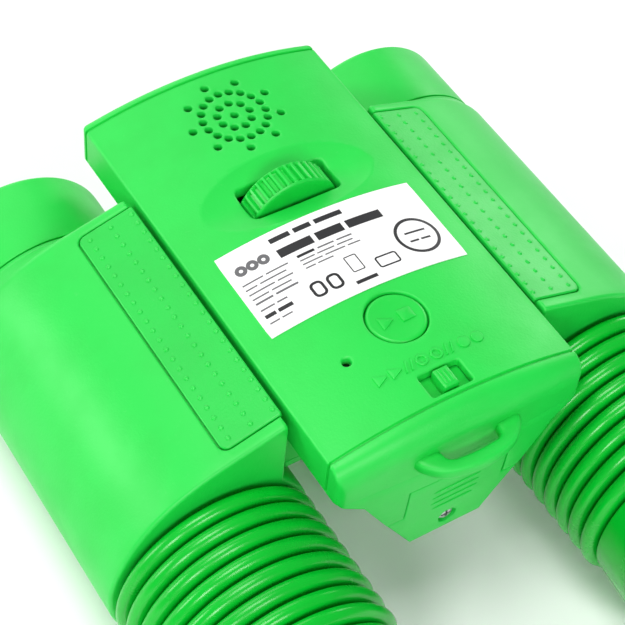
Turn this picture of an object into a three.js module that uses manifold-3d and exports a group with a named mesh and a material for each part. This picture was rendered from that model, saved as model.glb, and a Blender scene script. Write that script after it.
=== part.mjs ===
// Toy binoculars with a voice recorder. Millimetres, +Z up, X across the pair, +Y towards the objectives.
import * as THREE from 'three';
import { mergeVertices } from 'three/addons/utils/BufferGeometryUtils.js';
import Module from 'manifold-3d';

const wasm = await Module();
wasm.setup();

// ---- sizes -----------------------------------------------------------------------------------
const GAP = 0.3;                       // clearance left between neighbouring pieces
const WALL = 2;                        // moulded wall of the cases

const COVER_W = 60;                    // centre cover across X
const COVER_Y0 = -4.2;                 // near end wall
const COVER_Y1 = 106;                  // far end wall
const COVER_RISE = 4.3;                // height of the arch above its side edges
const SKIRT = 9.1;                     // depth of the cover's side walls
const NOSE_R = 4;                      // rounding of the near top edge
const TAIL_R = 1.6;                    // rounding of the far top edge
const EDGE_GROOVE = 0.7;               // fine groove across the cover where the ends begin
const END_LINE = 103.2;                // the far groove; the near one is at y = 0

const INNER_X = COVER_W / 2 + 1.5;     // vertical inner wall of the shoulder
const BARREL_X = INNER_X + 16.7;       // barrel axis, sideways
const BARREL_Z = -36.4;                // barrel axis, below the cover's side edge
const BARREL_R = 24;                   // round part of the barrel shell
const BARREL_Y0 = 12.5;                // near face of the shell
const BARREL_Y1 = 82.4;                // far end of the shouldered part
const NECK_Y = 88.4;                   // shell ends here, the hood begins
const NECK_R = BARREL_R - 0.4;
const ROOF_Z = -0.7;                   // height of the shoulder at its inner edge
const ROOF_FALL = 17.5;                // degrees, outward fall of the shoulder
const SHELL_BORE = BARREL_R - 3.4;

const HOOD_R = BARREL_R - 0.2;
const HOOD_BORE = BARREL_R - 3.8;
const HOOD_Y1 = 108;
const HOOD_SPIGOT = 5;                 // hood sleeve that plugs into the shell

const RINGS = 8;                       // ribs of the soft eyecup
const RING_PITCH = 4.46;
const RING_R = BARREL_R;
const VALLEY_R = RING_R - 3;
const CUP_BORE = RING_R - 6.2;
const CUP_Y0 = -41;                    // free rim of the eyecup
const CUP_RIM_R = RING_R - 0.4;

const LENS_R = BARREL_R - 7;
const LENS_SEAT = 1.6;                 // width of the ledge that carries a lens
const FOCUS_R = LENS_R - 1;            // lens in the carriage
const CARRIER_R = FOCUS_R + 3.2;
const OCULAR_R = LENS_R - 3;
const OBJECTIVE_Y = 93;
const OCULAR_Y = 9;
const RING_T = 2;                      // retaining ring thickness
const TRAVEL = 2;                      // carriage travel each way
const CARRIAGE_Y = 57.5;               // plate that carries the focus lenses
const CARRIAGE_T = 2.6;
const BAR_H = 2.6;                     // bar that joins the two carriers
const BAR_Z = BARREL_Z + CARRIER_R + 0.4;
const NUT_R = 3.2;                     // sleeve on the spindle

const WHEEL_Y = 65.4;
const WHEEL_Z = -4;
const WHEEL_R = 10.6;                  // under the ribs
const WHEEL_W = 6.4;
const WHEEL_RIBS = 30;
const RIB_H = 0.7;
const WINDOW_X = 10.4;                 // half width of the wheel opening
const WINDOW_Y = 4.3;
const DISH_X = 20;
const DISH_Y = 9.6;
const DISH_Z = 1.7;                    // lowest point of the dish
const SPINDLE_R = 1.8;
const POST_T = 2;                      // two posts carry the spindle
const POST_Y = [51.6, 72];
const SPINDLE_Y0 = POST_Y[0] + 0.4;
const SPINDLE_Y1 = POST_Y[1] + POST_T - 0.4;

const BUTTON_Y = 22.7;
const BUTTON_R = 6.5;
const BUTTON_STROKE = 1;
const BUTTON_TOP = COVER_RISE - 0.35;
const BUTTON_LOW = 0.4;                // underside of the button's flange
const MIC_X = -14.9;
const MIC_Y = 18.2;
const MIC_R = 1;
const SLOT_Y = 4.7;
const SLOT_W = 10;
const SLOT_D = 6;
const KNOB_W = 3.7;
const KNOB_D = 5;
const KNOB_TOP = 5.2;
const KNOB_FLANGE = 1.3;               // top of the knob's broad foot

const GRILLE_Y = 89.2;
const GRILLE_HOLE = 0.88;
const GRILLE_RINGS = [[3.92, 9, 0], [7.46, 18, 10], [10.61, 9, 20]];
const SPEAKER_R = 14;

const LABEL_W = 48.9;
const LABEL_Y0 = 31.6;
const LABEL_Y1 = 55.4;
const LABEL_T = 0.25;

const PANEL_X = INNER_X + 5.1;                    // centre of the grip panel
const PANEL_W = 14;
const PANEL_Y0 = 15.8;
const PANEL_Y1 = 79.5;
const PANEL_T = 1;
const DOT_ROWS = 22;
const DOT_PITCH = 2.84;
const DOT_COLUMN = 5.4;
const DOT_R = 0.48;

const V_TOP = COVER_W / 2 - 6.6;                    // half widths of the battery hull at its corners
const V_TOP_Z = -13.8;
const V_MID = 16.1;
const V_MID_Z = -26.2;
const V_LOW = 9.1;
const V_LOW_Z = -37.7;
const HULL_Y1 = 53.5;
const SEAM_Z = -25.2;                  // the door takes everything below this height
const TONGUE_W = 12.4;                 // half width of the door's tongue on the end wall
const TONGUE_Z = -15.4;
const SCREW_DOOR_Z = -33.6;            // door screw and its recess
const RECESS_R = 2.2;
const TRAY_Z = -SKIRT - GAP;           // top and underside of the tray that closes the cover
const TRAY_LOW = TRAY_Z - WALL;
const SHOULDER_SLOPE = (COVER_W / 2 - V_TOP) / (TRAY_Z - V_TOP_Z);

const CELL_R = 5.25;
const CELL_L = 44.5;
const CELL_Y = 26;                     // middle of the cells
const CELL_X = 5.7;
const CELL_Z = -17.2;
const CELL_LOW_Z = -27.5;

const LOOP_Z = -5;
const LOOP_HALF = 10.2;                // half width of the loop's centre line
const LOOP_OUT = 6.2;                  // reach of the centre line beyond the wall
const LOOP_R = 1.9;

const BRIDGE_Z = BAR_Z - 2.4;            // underside of the bridge walls, below the carriage bar
const BRIDGE_Y0 = 16;
const BRIDGE_Y1 = 80;
const PLATE_T = 1.7;
const SCREW_X = 25;
const SCREW_Y = [22.5, 74];
const SCREW_R = 1;
const SCREW_HEAD = 2;
const SCREW_L = 9;

const BOARD_Z = -5.2;                  // underside of the circuit board
const BOARD_T = 1.2;
const BOARD_X = 21;
const BOARD_Y0 = 1;
const BOARD_Y1 = 47;

const REST_Z = BARREL_Z - BARREL_R;
const MID_Y = (HOOD_Y1 + CUP_Y0) / 2;

// ---- materials -------------------------------------------------------------------------------
const GREEN = [0x2fd84a, 0.45, 0];
const GREEN_DEEP = [0x12c436, 0.35, 0];
const WHITE = [0xf4f4f2, 0.5, 0];
const BLACK = [0x1c1c1e, 0.55, 0];
const GLASS = [0xcfe6ea, 0.08, 0];
const STEEL = [0xb9bcc0, 0.3, 0.9];
const BOARD = [0x1f6b3a, 0.5, 0];
const CONE = [0x3a3a3a, 0.8, 0];
const CELL = [0x4a5058, 0.35, 0.6];

// ---- helpers ---------------------------------------------------------------------------------
function toManifold(geometry) {
  const bare = (geometry.index ? geometry : mergeVertices(geometry)).clone();
  bare.deleteAttribute('normal');
  bare.deleteAttribute('uv');
  const merged = mergeVertices(bare, 1e-4);
  const p = merged.attributes.position.array;
  const index = [];
  let volume = 0;
  for (let i = 0; i < merged.index.count; i += 3) {
    const [a, b, c] = [0, 1, 2].map((k) => merged.index.getX(i + k));
    if (a === b || b === c || a === c) continue;
    index.push(a, b, c);
    const [ax, ay, az, bx, by, bz, cx, cy, cz] = [a, b, c].flatMap((v) => [p[3 * v], p[3 * v + 1], p[3 * v + 2]]);
    volume += ax * (by * cz - bz * cy) + ay * (bz * cx - bx * cz) + az * (bx * cy - by * cx);
  }
  if (volume < 0) {
    for (let i = 0; i < index.length; i += 3) [index[i], index[i + 1]] = [index[i + 1], index[i]];
  }
  return new wasm.Manifold(new wasm.Mesh({
    numProp: 3,
    vertProperties: new Float32Array(p),
    triVerts: new Uint32Array(index),
  }));
}

function toGeometry(solid) {
  const out = solid.getMesh();
  const geometry = new THREE.BufferGeometry();
  geometry.setAttribute('position', new THREE.BufferAttribute(new Float32Array(out.vertProperties), 3));
  geometry.setIndex(new THREE.BufferAttribute(new Uint32Array(out.triVerts), 1));
  return geometry;
}

const box = (x0, x1, y0, y1, z0, z1) => toManifold(
  new THREE.BoxGeometry(x1 - x0, y1 - y0, z1 - z0).translate((x0 + x1) / 2, (y0 + y1) / 2, (z0 + z1) / 2));

// an outline in X and Z carried along Y
function alongY(shape, y0, y1, curveSegments = 12) {
  const geometry = new THREE.ExtrudeGeometry(shape, { depth: y1 - y0, bevelEnabled: false, curveSegments });
  return toManifold(geometry.rotateX(Math.PI / 2).translate(0, y1, 0));
}

// an outline in Y and Z carried along X
function alongX(shape, x0, x1, curveSegments = 6) {
  const geometry = new THREE.ExtrudeGeometry(shape, { depth: x1 - x0, bevelEnabled: false, curveSegments });
  return toManifold(geometry.rotateX(Math.PI / 2).rotateZ(Math.PI / 2).translate(x0, 0, 0));
}

// an outline in X and Y carried up Z
function alongZ(shape, z0, z1, curveSegments = 6) {
  const geometry = new THREE.ExtrudeGeometry(shape, { depth: z1 - z0, bevelEnabled: false, curveSegments });
  return toManifold(geometry.translate(0, 0, z0));
}

// a profile of [radius, y] turned about a line along Y
function turned(profile, x, z, segments = 40) {
  const points = profile.map(([r, y]) => new THREE.Vector2(r, y));
  return toManifold(new THREE.LatheGeometry(points, segments).translate(x, 0, z));
}

// a closed profile of [radius, z] or one that meets the axis, turned about a vertical line
function turnedUp(profile, x, y, segments = 24) {
  const points = profile.map(([r, z]) => new THREE.Vector2(r, z));
  return toManifold(new THREE.LatheGeometry(points, segments).rotateX(Math.PI / 2).translate(x, y, 0));
}

const ringProfile = (inner, outer, y0, y1) => [[inner, y0], [outer, y0], [outer, y1], [inner, y1], [inner, y0]];
const discProfile = (radius, y0, y1) => [[0, y0], [radius, y0], [radius, y1], [0, y1]];

function polygon(points) {
  const shape = new THREE.Shape();
  points.forEach(([a, b], i) => (i ? shape.lineTo(a, b) : shape.moveTo(a, b)));
  shape.closePath();
  return shape;
}

function roundedRect(cx, cy, w, d, r) {
  const [x0, x1, y0, y1] = [cx - w / 2, cx + w / 2, cy - d / 2, cy + d / 2];
  const shape = new THREE.Shape();
  shape.moveTo(x0 + r, y0);
  shape.lineTo(x1 - r, y0);
  shape.absarc(x1 - r, y0 + r, r, -Math.PI / 2, 0);
  shape.lineTo(x1, y1 - r);
  shape.absarc(x1 - r, y1 - r, r, 0, Math.PI / 2);
  shape.lineTo(x0 + r, y1);
  shape.absarc(x0 + r, y1 - r, r, Math.PI / 2, Math.PI);
  shape.lineTo(x0, y0 + r);
  shape.absarc(x0 + r, y0 + r, r, Math.PI, 1.5 * Math.PI);
  return shape;
}

const group = new THREE.Group();

function put(name, solid, [color, roughness, metalness], extra = {}) {
  const material = new THREE.MeshStandardMaterial({ color, roughness, metalness, ...extra });
  material.name = name;
  const mesh = new THREE.Mesh(toGeometry(solid.translate([0, -MID_Y, -REST_Z])), material);
  mesh.name = name;
  group.add(mesh);
}

// ---- centre cover ----------------------------------------------------------------------------
const ARCH_R = ((COVER_W / 2) ** 2 + COVER_RISE ** 2) / (2 * COVER_RISE);
const ARCH_Z = COVER_RISE - ARCH_R;
const archTop = (x) => ARCH_Z + Math.sqrt(ARCH_R ** 2 - x ** 2);

// closed outline under an arch of the cover, `inset` inside its surface
function archShape(half, inset, bottom) {
  const radius = ARCH_R - inset;
  const angle = Math.acos(half / radius);
  const shape = new THREE.Shape();
  shape.moveTo(half, bottom);
  shape.absarc(0, ARCH_Z, radius, angle, Math.PI - angle);
  shape.lineTo(-half, bottom);
  shape.closePath();
  return shape;
}

function coverSide(y0, y1, top, bottom, nose, tail) {
  const shape = new THREE.Shape();
  shape.moveTo(y0, bottom);
  shape.lineTo(y0, top - 1.5 * nose);
  shape.absellipse(y0 + nose, top - 1.5 * nose, nose, 1.5 * nose, Math.PI, Math.PI / 2, true);
  shape.lineTo(y1 - tail, top);
  shape.absarc(y1 - tail, top - tail, tail, Math.PI / 2, 0, true);
  shape.lineTo(y1, bottom);
  shape.closePath();
  return shape;
}

function grilleHoles() {
  const hole = (x, y) => turnedUp(discProfile(GRILLE_HOLE, -2, COVER_RISE + 1), x, y, 6);
  let holes = hole(0, GRILLE_Y);
  for (const [radius, count, start] of GRILLE_RINGS) {
    for (let i = 0; i < count; i += 1) {
      const angle = THREE.MathUtils.degToRad(start + (i * 360) / count);
      holes = holes.add(hole(radius * Math.cos(angle), GRILLE_Y + radius * Math.sin(angle)));
    }
  }
  return holes;
}

function dishTool() {
  const profile = [[0, DISH_Z]];
  for (let i = 1; i <= 3; i += 1) profile.push([(i / 3) * DISH_X, DISH_Z + 2.4 * (i / 3) ** 2]);
  profile.push([DISH_X + 2, COVER_RISE + 2], [0, COVER_RISE + 2]);
  return turnedUp(profile, 0, 0, 24).scale([1, DISH_Y / DISH_X, 1]).translate([0, WHEEL_Y, 0]);
}

function topCover() {
  const outer = alongY(archShape(COVER_W / 2, 0, -SKIRT), COVER_Y0, COVER_Y1, 14)
    .intersect(alongX(coverSide(COVER_Y0, COVER_Y1, COVER_RISE, -SKIRT, NOSE_R, TAIL_R), -COVER_W, COVER_W));
  const inner = alongY(archShape(COVER_W / 2 - WALL, WALL, -SKIRT - 1), COVER_Y0 + WALL, COVER_Y1 - WALL, 14);
  let cover = outer.subtract(inner);
  const padTop = archTop(DISH_X + 2) - 1;
  const padFar = GRILLE_Y - SPEAKER_R - GAP;
  cover = cover.add(box(-DISH_X - 2, DISH_X + 2, WHEEL_Y - DISH_Y - 2, padFar, -0.4, padTop));
  const wheelRoom = discProfile(WHEEL_R + RIB_H + 0.6, WHEEL_Y - WINDOW_Y, WHEEL_Y + WINDOW_Y);
  cover = cover.subtract(turned(wheelRoom, 0, WHEEL_Z, 32));
  cover = cover.subtract(dishTool());
  cover = cover.subtract(alongZ(roundedRect(0, WHEEL_Y, 2 * WINDOW_X, 2 * WINDOW_Y, 1.5), -2, 8));
  cover = cover.subtract(turnedUp(discProfile(BUTTON_R + GAP, -1, 6), 0, BUTTON_Y, 32));
  cover = cover.subtract(turnedUp(discProfile(MIC_R, -1, 6), MIC_X, MIC_Y, 10));
  cover = cover.subtract(alongZ(roundedRect(0, SLOT_Y, SLOT_W, SLOT_D, 0.6), 0, 6, 2));
  cover = cover.subtract(grilleHoles());
  cover = cover.add(strapLoop());
  for (const y of [0, END_LINE]) {
    const ring = alongY(archShape(COVER_W / 2 + 1, -1, COVER_RISE - 8), y, y + EDGE_GROOVE, 14)
      .subtract(alongY(archShape(COVER_W / 2 + 2, EDGE_GROOVE / 2, COVER_RISE - 9), y - 1, y + 2, 14));
    cover = cover.subtract(ring);
  }
  return cover;
}

// half-round bar standing out of the near end wall
function strapLoop() {
  const steps = 12;
  const sides = 6;
  const bar = [];
  for (let i = 0; i <= steps; i += 1) {
    const t = Math.PI * (i / steps);
    const squash = Math.sin(t) ** 0.55;
    const centre = new THREE.Vector3(-LOOP_HALF * Math.cos(t), COVER_Y0 + 1 - (LOOP_OUT + 1) * squash, LOOP_Z);
    bar.push(centre);
  }
  bar[0].y = COVER_Y0 + 1;
  bar[steps].y = COVER_Y0 + 1;
  const positions = [];
  const index = [];
  bar.forEach((centre, i) => {
    const before = bar[Math.max(i - 1, 0)];
    const after = bar[Math.min(i + 1, steps)];
    const along = i === 0 || i === steps
      ? new THREE.Vector3(0, i === 0 ? -1 : 1, 0)
      : after.clone().sub(before).normalize();
    const side = new THREE.Vector3(-along.y, along.x, 0);
    for (let k = 0; k < sides; k += 1) {
      const a = (2 * Math.PI * k) / sides;
      const p = centre.clone().addScaledVector(side, LOOP_R * Math.cos(a));
      positions.push(p.x, p.y, p.z + LOOP_R * Math.sin(a));
    }
  });
  for (let i = 0; i < steps; i += 1) {
    for (let k = 0; k < sides; k += 1) {
      const [a, b] = [i * sides + k, i * sides + ((k + 1) % sides)];
      index.push(a, b, b + sides, a, b + sides, a + sides);
    }
  }
  for (let k = 1; k < sides - 1; k += 1) {
    index.push(0, k + 1, k);
    const last = steps * sides;
    index.push(last, last + k, last + k + 1);
  }
  const geometry = new THREE.BufferGeometry();
  geometry.setAttribute('position', new THREE.Float32BufferAttribute(positions, 3));
  geometry.setIndex(index);
  return toManifold(geometry);
}

// ---- lower housing, battery hull and door ----------------------------------------------------
function hullOutline(inset, top) {
  const wide = V_TOP + (top - V_TOP_Z) * SHOULDER_SLOPE - inset;
  return polygon([
    [wide, top], [V_TOP - inset, V_TOP_Z], [V_MID - inset, V_MID_Z], [V_LOW - inset, V_LOW_Z + inset],
    [inset - V_LOW, V_LOW_Z + inset], [inset - V_MID, V_MID_Z], [inset - V_TOP, V_TOP_Z], [-wide, top],
  ]);
}

function trayOutline() {
  const [top, low] = [COVER_W / 2, COVER_W / 2 - WALL * SHOULDER_SLOPE];
  return polygon([[top, TRAY_Z], [low, TRAY_LOW], [-low, TRAY_LOW], [-top, TRAY_Z]]);
}

const hullCavity = (top) => alongY(hullOutline(WALL, top), COVER_Y0 + WALL, HULL_Y1 - WALL);

// the room taken by the door, grown by a clearance
function doorSpace(grow) {
  const y1 = COVER_Y0 + WALL + grow;
  const low = box(-COVER_W, COVER_W, COVER_Y0 - 1, HULL_Y1 + 1, V_LOW_Z - 1, SEAM_Z);
  const tongue = box(-TONGUE_W - grow, TONGUE_W + grow, COVER_Y0 - 1, y1, SEAM_Z - 1, TONGUE_Z + grow);
  return low.add(tongue);
}

function bridgeWalls() {
  const x1 = INNER_X - GAP;
  const x0 = x1 - WALL;
  let walls = box(-x1, x1, BRIDGE_Y0, BRIDGE_Y1, TRAY_LOW, TRAY_Z - 0.5);
  for (const side of [-1, 1]) {
    const [a, b] = [side * x0, side * x1].sort((p, q) => p - q);
    walls = walls.add(box(a, b, BRIDGE_Y0, BRIDGE_Y1, BRIDGE_Z, TRAY_Z - 0.5));
    for (const y of SCREW_Y) {
      walls = walls.add(turnedUp(discProfile(3, BRIDGE_Z, TRAY_LOW + 1), side * SCREW_X, y, 16));
    }
  }
  for (const y of [BRIDGE_Y0, 36, BRIDGE_Y1 - WALL]) {
    walls = walls.add(box(-x1, x1, y, y + WALL, BRIDGE_Z, TRAY_LOW + 1));
  }
  return walls;
}

// openings for the moving lens carriage through the bridge and the tray
function carriageRoom(reach) {
  const y = [CARRIAGE_Y - CARRIAGE_T / 2 - TRAVEL - 0.5, CARRIAGE_Y + CARRIAGE_T / 2 + TRAVEL + 0.5];
  const bar = box(-reach, reach, y[0], y[1], BAR_Z - BAR_H / 2 - 0.5, BAR_Z + BAR_H / 2 + 0.5);
  return bar.add(box(-NUT_R - 0.5, NUT_R + 0.5, y[0], y[1], BAR_Z, 0));
}

function lowerHousing() {
  const hull = alongY(hullOutline(0, TRAY_LOW + 0.5), COVER_Y0, HULL_Y1);
  let housing = alongY(trayOutline(), COVER_Y0, COVER_Y1).add(bridgeWalls()).add(hull);
  housing = housing.subtract(hullCavity(TRAY_LOW));
  housing = housing.subtract(doorSpace(GAP));
  const [wall0, wall1] = [COVER_Y0 + WALL + GAP, COVER_Y0 + WALL + 2];
  housing = housing.add(box(-TONGUE_W - 2, TONGUE_W + 2, wall0, wall1, SEAM_Z, TRAY_LOW + 0.5));
  housing = housing.add(box(-3, 3, wall0, wall1, SCREW_DOOR_Z - 1.8, SEAM_Z + 1));
  const hole = SCREW_R + 0.2;
  housing = housing.subtract(turned(discProfile(hole, COVER_Y0, COVER_Y0 + 5), 0, SCREW_DOOR_Z, 10));
  housing = housing.subtract(box(-hole, hole, COVER_Y0, COVER_Y0 + 5, SCREW_DOOR_Z - 3, SCREW_DOOR_Z));
  const [room, reach] = [WHEEL_R + 1.5, WHEEL_W / 2 + 1];
  housing = housing.subtract(box(-room, room, WHEEL_Y - reach, WHEEL_Y + reach, -17, 0));
  for (const y of POST_Y) {
    housing = housing.add(box(-4, 4, y, y + POST_T, TRAY_LOW + 0.5, WHEEL_Z + SPINDLE_R + 1.2));
  }
  const bearing = discProfile(SPINDLE_R + GAP, SPINDLE_Y0 - GAP, SPINDLE_Y1 + GAP);
  housing = housing.subtract(turned(bearing, 0, WHEEL_Z, 16));
  housing = housing.subtract(carriageRoom(COVER_W));
  const pilot = discProfile(hole, BRIDGE_Z - 1, BRIDGE_Z + SCREW_L);
  for (const side of [-1, 1]) {
    for (const y of SCREW_Y) {
      housing = housing.subtract(turnedUp(pilot, side * SCREW_X, y, 10));
    }
  }
  return housing;
}

function batteryDoor() {
  const y1 = COVER_Y0 + WALL;
  const hull = alongY(hullOutline(0, TRAY_LOW), COVER_Y0, HULL_Y1).subtract(hullCavity(TRAY_LOW + 1));
  const low = hull.intersect(box(-COVER_W, COVER_W, COVER_Y0 - 1, HULL_Y1 + 1, V_LOW_Z - 1, SEAM_Z - GAP));
  let door = low.add(box(-TONGUE_W, TONGUE_W, COVER_Y0, y1, SEAM_Z - 3, TONGUE_Z));
  door = door.subtract(turned(discProfile(SCREW_R + 0.2, COVER_Y0 - 1, y1 + 1), 0, SCREW_DOOR_Z, 12));
  return door.subtract(turned(discProfile(RECESS_R, COVER_Y0 - 1, COVER_Y0 + 1.3), 0, SCREW_DOOR_Z, 20));
}

function bridgeCover() {
  const x = INNER_X - 2.4;
  const z1 = BRIDGE_Z - GAP;
  let plate = box(-x, x, BRIDGE_Y0, BRIDGE_Y1, z1 - PLATE_T, z1);
  plate = plate.subtract(alongY(hullOutline(-GAP, TRAY_LOW), COVER_Y0, HULL_Y1 + GAP));
  const hole = discProfile(SCREW_R + 0.2, z1 - PLATE_T - 1, z1 + 1);
  for (const side of [-1, 1]) {
    for (const y of SCREW_Y) {
      plate = plate.subtract(turnedUp(hole, side * SCREW_X, y, 12));
    }
  }
  return plate;
}

// round-headed screw with a cross slot; the head is at the origin and the shank runs up +Z
function screwBody(length) {
  const profile = [
    [0, -1], [SCREW_HEAD * 0.6, -0.85], [SCREW_HEAD, -0.4], [SCREW_HEAD, 0],
    [SCREW_R, 0], [SCREW_R, length], [0, length],
  ];
  const slot = box(-1.3, 1.3, -0.3, 0.3, -2, -0.45).add(box(-0.3, 0.3, -1.3, 1.3, -2, -0.45));
  return turnedUp(profile, 0, 0, 10).subtract(slot);
}

// ---- barrels ---------------------------------------------------------------------------------
// D-shaped section of one barrel: round body with a sloped shoulder that meets the centre cover
function barrelOutline(inset) {
  const r = BARREL_R - inset;
  const fall = THREE.MathUtils.degToRad(ROOF_FALL);
  const x = INNER_X + inset;
  const roofZ = ROOF_Z - inset / Math.cos(fall) - inset * Math.tan(fall);
  const outerX = BARREL_X + 6;
  const outerZ = roofZ - (outerX - x) * Math.tan(fall);
  const start = THREE.MathUtils.degToRad(45);
  const touch = Math.PI - Math.asin(Math.sqrt(r ** 2 - (BARREL_X - x) ** 2) / r);
  const shape = new THREE.Shape();
  shape.moveTo(x, roofZ - 1);
  shape.lineTo(x + 1, roofZ - 0.3);
  shape.lineTo(outerX, outerZ);
  shape.quadraticCurveTo(
    BARREL_X + 11.5, outerZ - 5.5 * Math.tan(fall) - 0.4,
    BARREL_X + r * Math.cos(start), BARREL_Z + r * Math.sin(start));
  shape.absarc(BARREL_X, BARREL_Z, r, start, touch - 2 * Math.PI, true);
  shape.closePath();
  return shape;
}

function barrelShell() {
  const body = alongY(barrelOutline(0), BARREL_Y0, BARREL_Y1, 12);
  const neck = turned(discProfile(NECK_R, BARREL_Y1 - 1, NECK_Y), BARREL_X, BARREL_Z, 24);
  const slope = barrelSlope();
  let shell = body.add(neck).add(slope);
  shell = shell.subtract(alongY(barrelOutline(WALL), BARREL_Y0 + WALL, BARREL_Y1 - WALL, 12));
  const mouth = discProfile(SHELL_BORE, BARREL_Y1 - WALL - 1, NECK_Y + 1);
  const eye = discProfile(CUP_BORE - 0.6, BARREL_Y0 - 1, BARREL_Y0 + WALL + 1);
  for (const bore of [mouth, eye]) shell = shell.subtract(turned(bore, BARREL_X, BARREL_Z, 24));
  shell = shell.subtract(carriageRoom(BARREL_X - 10));
  return shell.subtract(panelSpace(GAP / 2, PANEL_T));
}

// the shoulder runs out to the round neck over a short slope; both ends are fans about the barrel axis
function barrelSlope() {
  const spots = barrelOutline(0).getPoints(10).slice(0, -1);
  const count = spots.length;
  const positions = [];
  for (const [y, pull] of [[BARREL_Y1 - 0.5, 0], [NECK_Y - 1.5, 1]]) {
    for (const { x, y: z } of spots) {
      const [dx, dz] = [x - BARREL_X, z - BARREL_Z];
      const scale = 1 + (NECK_R / Math.hypot(dx, dz) - 1) * pull;
      positions.push(BARREL_X + dx * scale, y, BARREL_Z + dz * scale);
    }
    positions.push(BARREL_X, y, BARREL_Z);
  }
  const index = [];
  for (let i = 0; i < count; i += 1) {
    const [p, q, far] = [i, (i + 1) % count, count + 1];
    index.push(p, q, q + far, p, q + far, p + far, p, count, q, p + far, q + far, count + far);
  }
  const geometry = new THREE.BufferGeometry();
  geometry.setAttribute('position', new THREE.Float32BufferAttribute(positions, 3));
  geometry.setIndex(index);
  return toManifold(geometry);
}

const roofAngle = THREE.MathUtils.degToRad(ROOF_FALL);
const roofAt = (x) => ROOF_Z - (x - INNER_X) * Math.tan(roofAngle);

function onRoof(solid) {
  return solid.rotate([0, ROOF_FALL, 0]).translate([PANEL_X + 1.4, 0, roofAt(PANEL_X + 1.4)]);
}

const panelPlan = (grow) => roundedRect(
  0, (PANEL_Y0 + PANEL_Y1) / 2, PANEL_W + 2 * grow, PANEL_Y1 - PANEL_Y0 + 2 * grow, 1.2 + grow);
const panelSpace = (grow, depth) => onRoof(alongZ(panelPlan(grow), -depth - grow, 3, 4));

function gripPanel() {
  let panel = alongZ(panelPlan(0), -PANEL_T, -0.15, 4);
  for (let column = -1; column <= 1; column += 1) {
    for (let row = 0; row < DOT_ROWS; row += 1) {
      const y = (PANEL_Y0 + PANEL_Y1) / 2 + (row - (DOT_ROWS - 1) / 2) * DOT_PITCH;
      const x = column * DOT_COLUMN - 0.7;
      const dot = turnedUp([[0, -0.4], [DOT_R, -0.4], [DOT_R * 0.7, 0.15], [0, 0.15]], x, y, 4);
      panel = panel.add(dot);
    }
  }
  return onRoof(panel);
}

// soft eyecup: a corrugated sleeve, then a plain flared tube
function eyecup() {
  const outer = [[CUP_BORE, BARREL_Y0 - GAP], [VALLEY_R, BARREL_Y0 - GAP]];
  const first = BARREL_Y0 - GAP - 0.6;
  for (let i = 0; i < RINGS; i += 1) {
    const y = first - i * RING_PITCH;
    outer.push([RING_R, y - RING_PITCH * 0.28], [RING_R, y - RING_PITCH * 0.72]);
    if (i < RINGS - 1) outer.push([VALLEY_R, y - RING_PITCH]);
  }
  const end = first - RINGS * RING_PITCH;
  outer.push([RING_R - 1.6, end - 0.6], [CUP_RIM_R - 0.6, CUP_Y0 + 1.2], [CUP_RIM_R - 1.6, CUP_Y0]);
  outer.push([CUP_BORE + 0.6, CUP_Y0], [CUP_BORE, CUP_Y0 + 1], [CUP_BORE, BARREL_Y0 - GAP]);
  return turned(outer, BARREL_X, BARREL_Z, 20);
}

function objectiveHood() {
  const y0 = NECK_Y + GAP;
  const spigot = SHELL_BORE - GAP;
  const profile = [
    [HOOD_BORE, HOOD_Y1 - 0.8], [HOOD_BORE + 0.8, HOOD_Y1], [HOOD_R - 0.9, HOOD_Y1], [HOOD_R, HOOD_Y1 - 1.1],
    [HOOD_R, y0], [spigot, y0], [spigot, NECK_Y - HOOD_SPIGOT], [LENS_R - LENS_SEAT, NECK_Y - HOOD_SPIGOT],
    [LENS_R - LENS_SEAT, OBJECTIVE_Y - 2], [LENS_R + GAP, OBJECTIVE_Y - 2], [LENS_R + GAP, OBJECTIVE_Y + 2],
    [HOOD_BORE, OBJECTIVE_Y + 2], [HOOD_BORE, HOOD_Y1 - 0.8],
  ];
  return turned(profile, BARREL_X, BARREL_Z, 24);
}

// a lens with both faces bulged by `bulge`, thick `edge` at its rim
function lens(y, edge, bulge, radius = LENS_R) {
  const steps = 2;
  const profile = [];
  const point = (i, side) => [(radius * i) / steps, y + side * (edge / 2 + bulge * (1 - (i / steps) ** 2))];
  for (let i = 0; i <= steps; i += 1) profile.push(point(i, -1));
  for (let i = steps; i >= 0; i -= 1) profile.push(point(i, 1));
  return turned(profile, BARREL_X, BARREL_Z, 16);
}

const retainingRing = (y0) => turned(
  ringProfile(LENS_R - LENS_SEAT, LENS_R, y0, y0 + RING_T), BARREL_X, BARREL_Z, 20);

// seat of the rear lens: a cup that plugs the eyepiece end of the shell
function ocularMount() {
  const flange = CUP_BORE - 0.6 - GAP;
  const profile = [
    [OCULAR_R - LENS_SEAT, OCULAR_Y - 3], [flange, OCULAR_Y - 3], [flange, BARREL_Y0 + WALL + 1],
    [OCULAR_R + GAP, BARREL_Y0 + WALL + 1], [OCULAR_R + GAP, OCULAR_Y - 1.4],
    [OCULAR_R - LENS_SEAT, OCULAR_Y - 1.4],
    [OCULAR_R - LENS_SEAT, OCULAR_Y - 3],
  ];
  return turned(profile, BARREL_X, BARREL_Z, 24);
}

const ocularRing = () => turned(
  ringProfile(OCULAR_R - LENS_SEAT, OCULAR_R, OCULAR_Y + 1.4, OCULAR_Y + 3.4), BARREL_X, BARREL_Z, 20);

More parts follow.
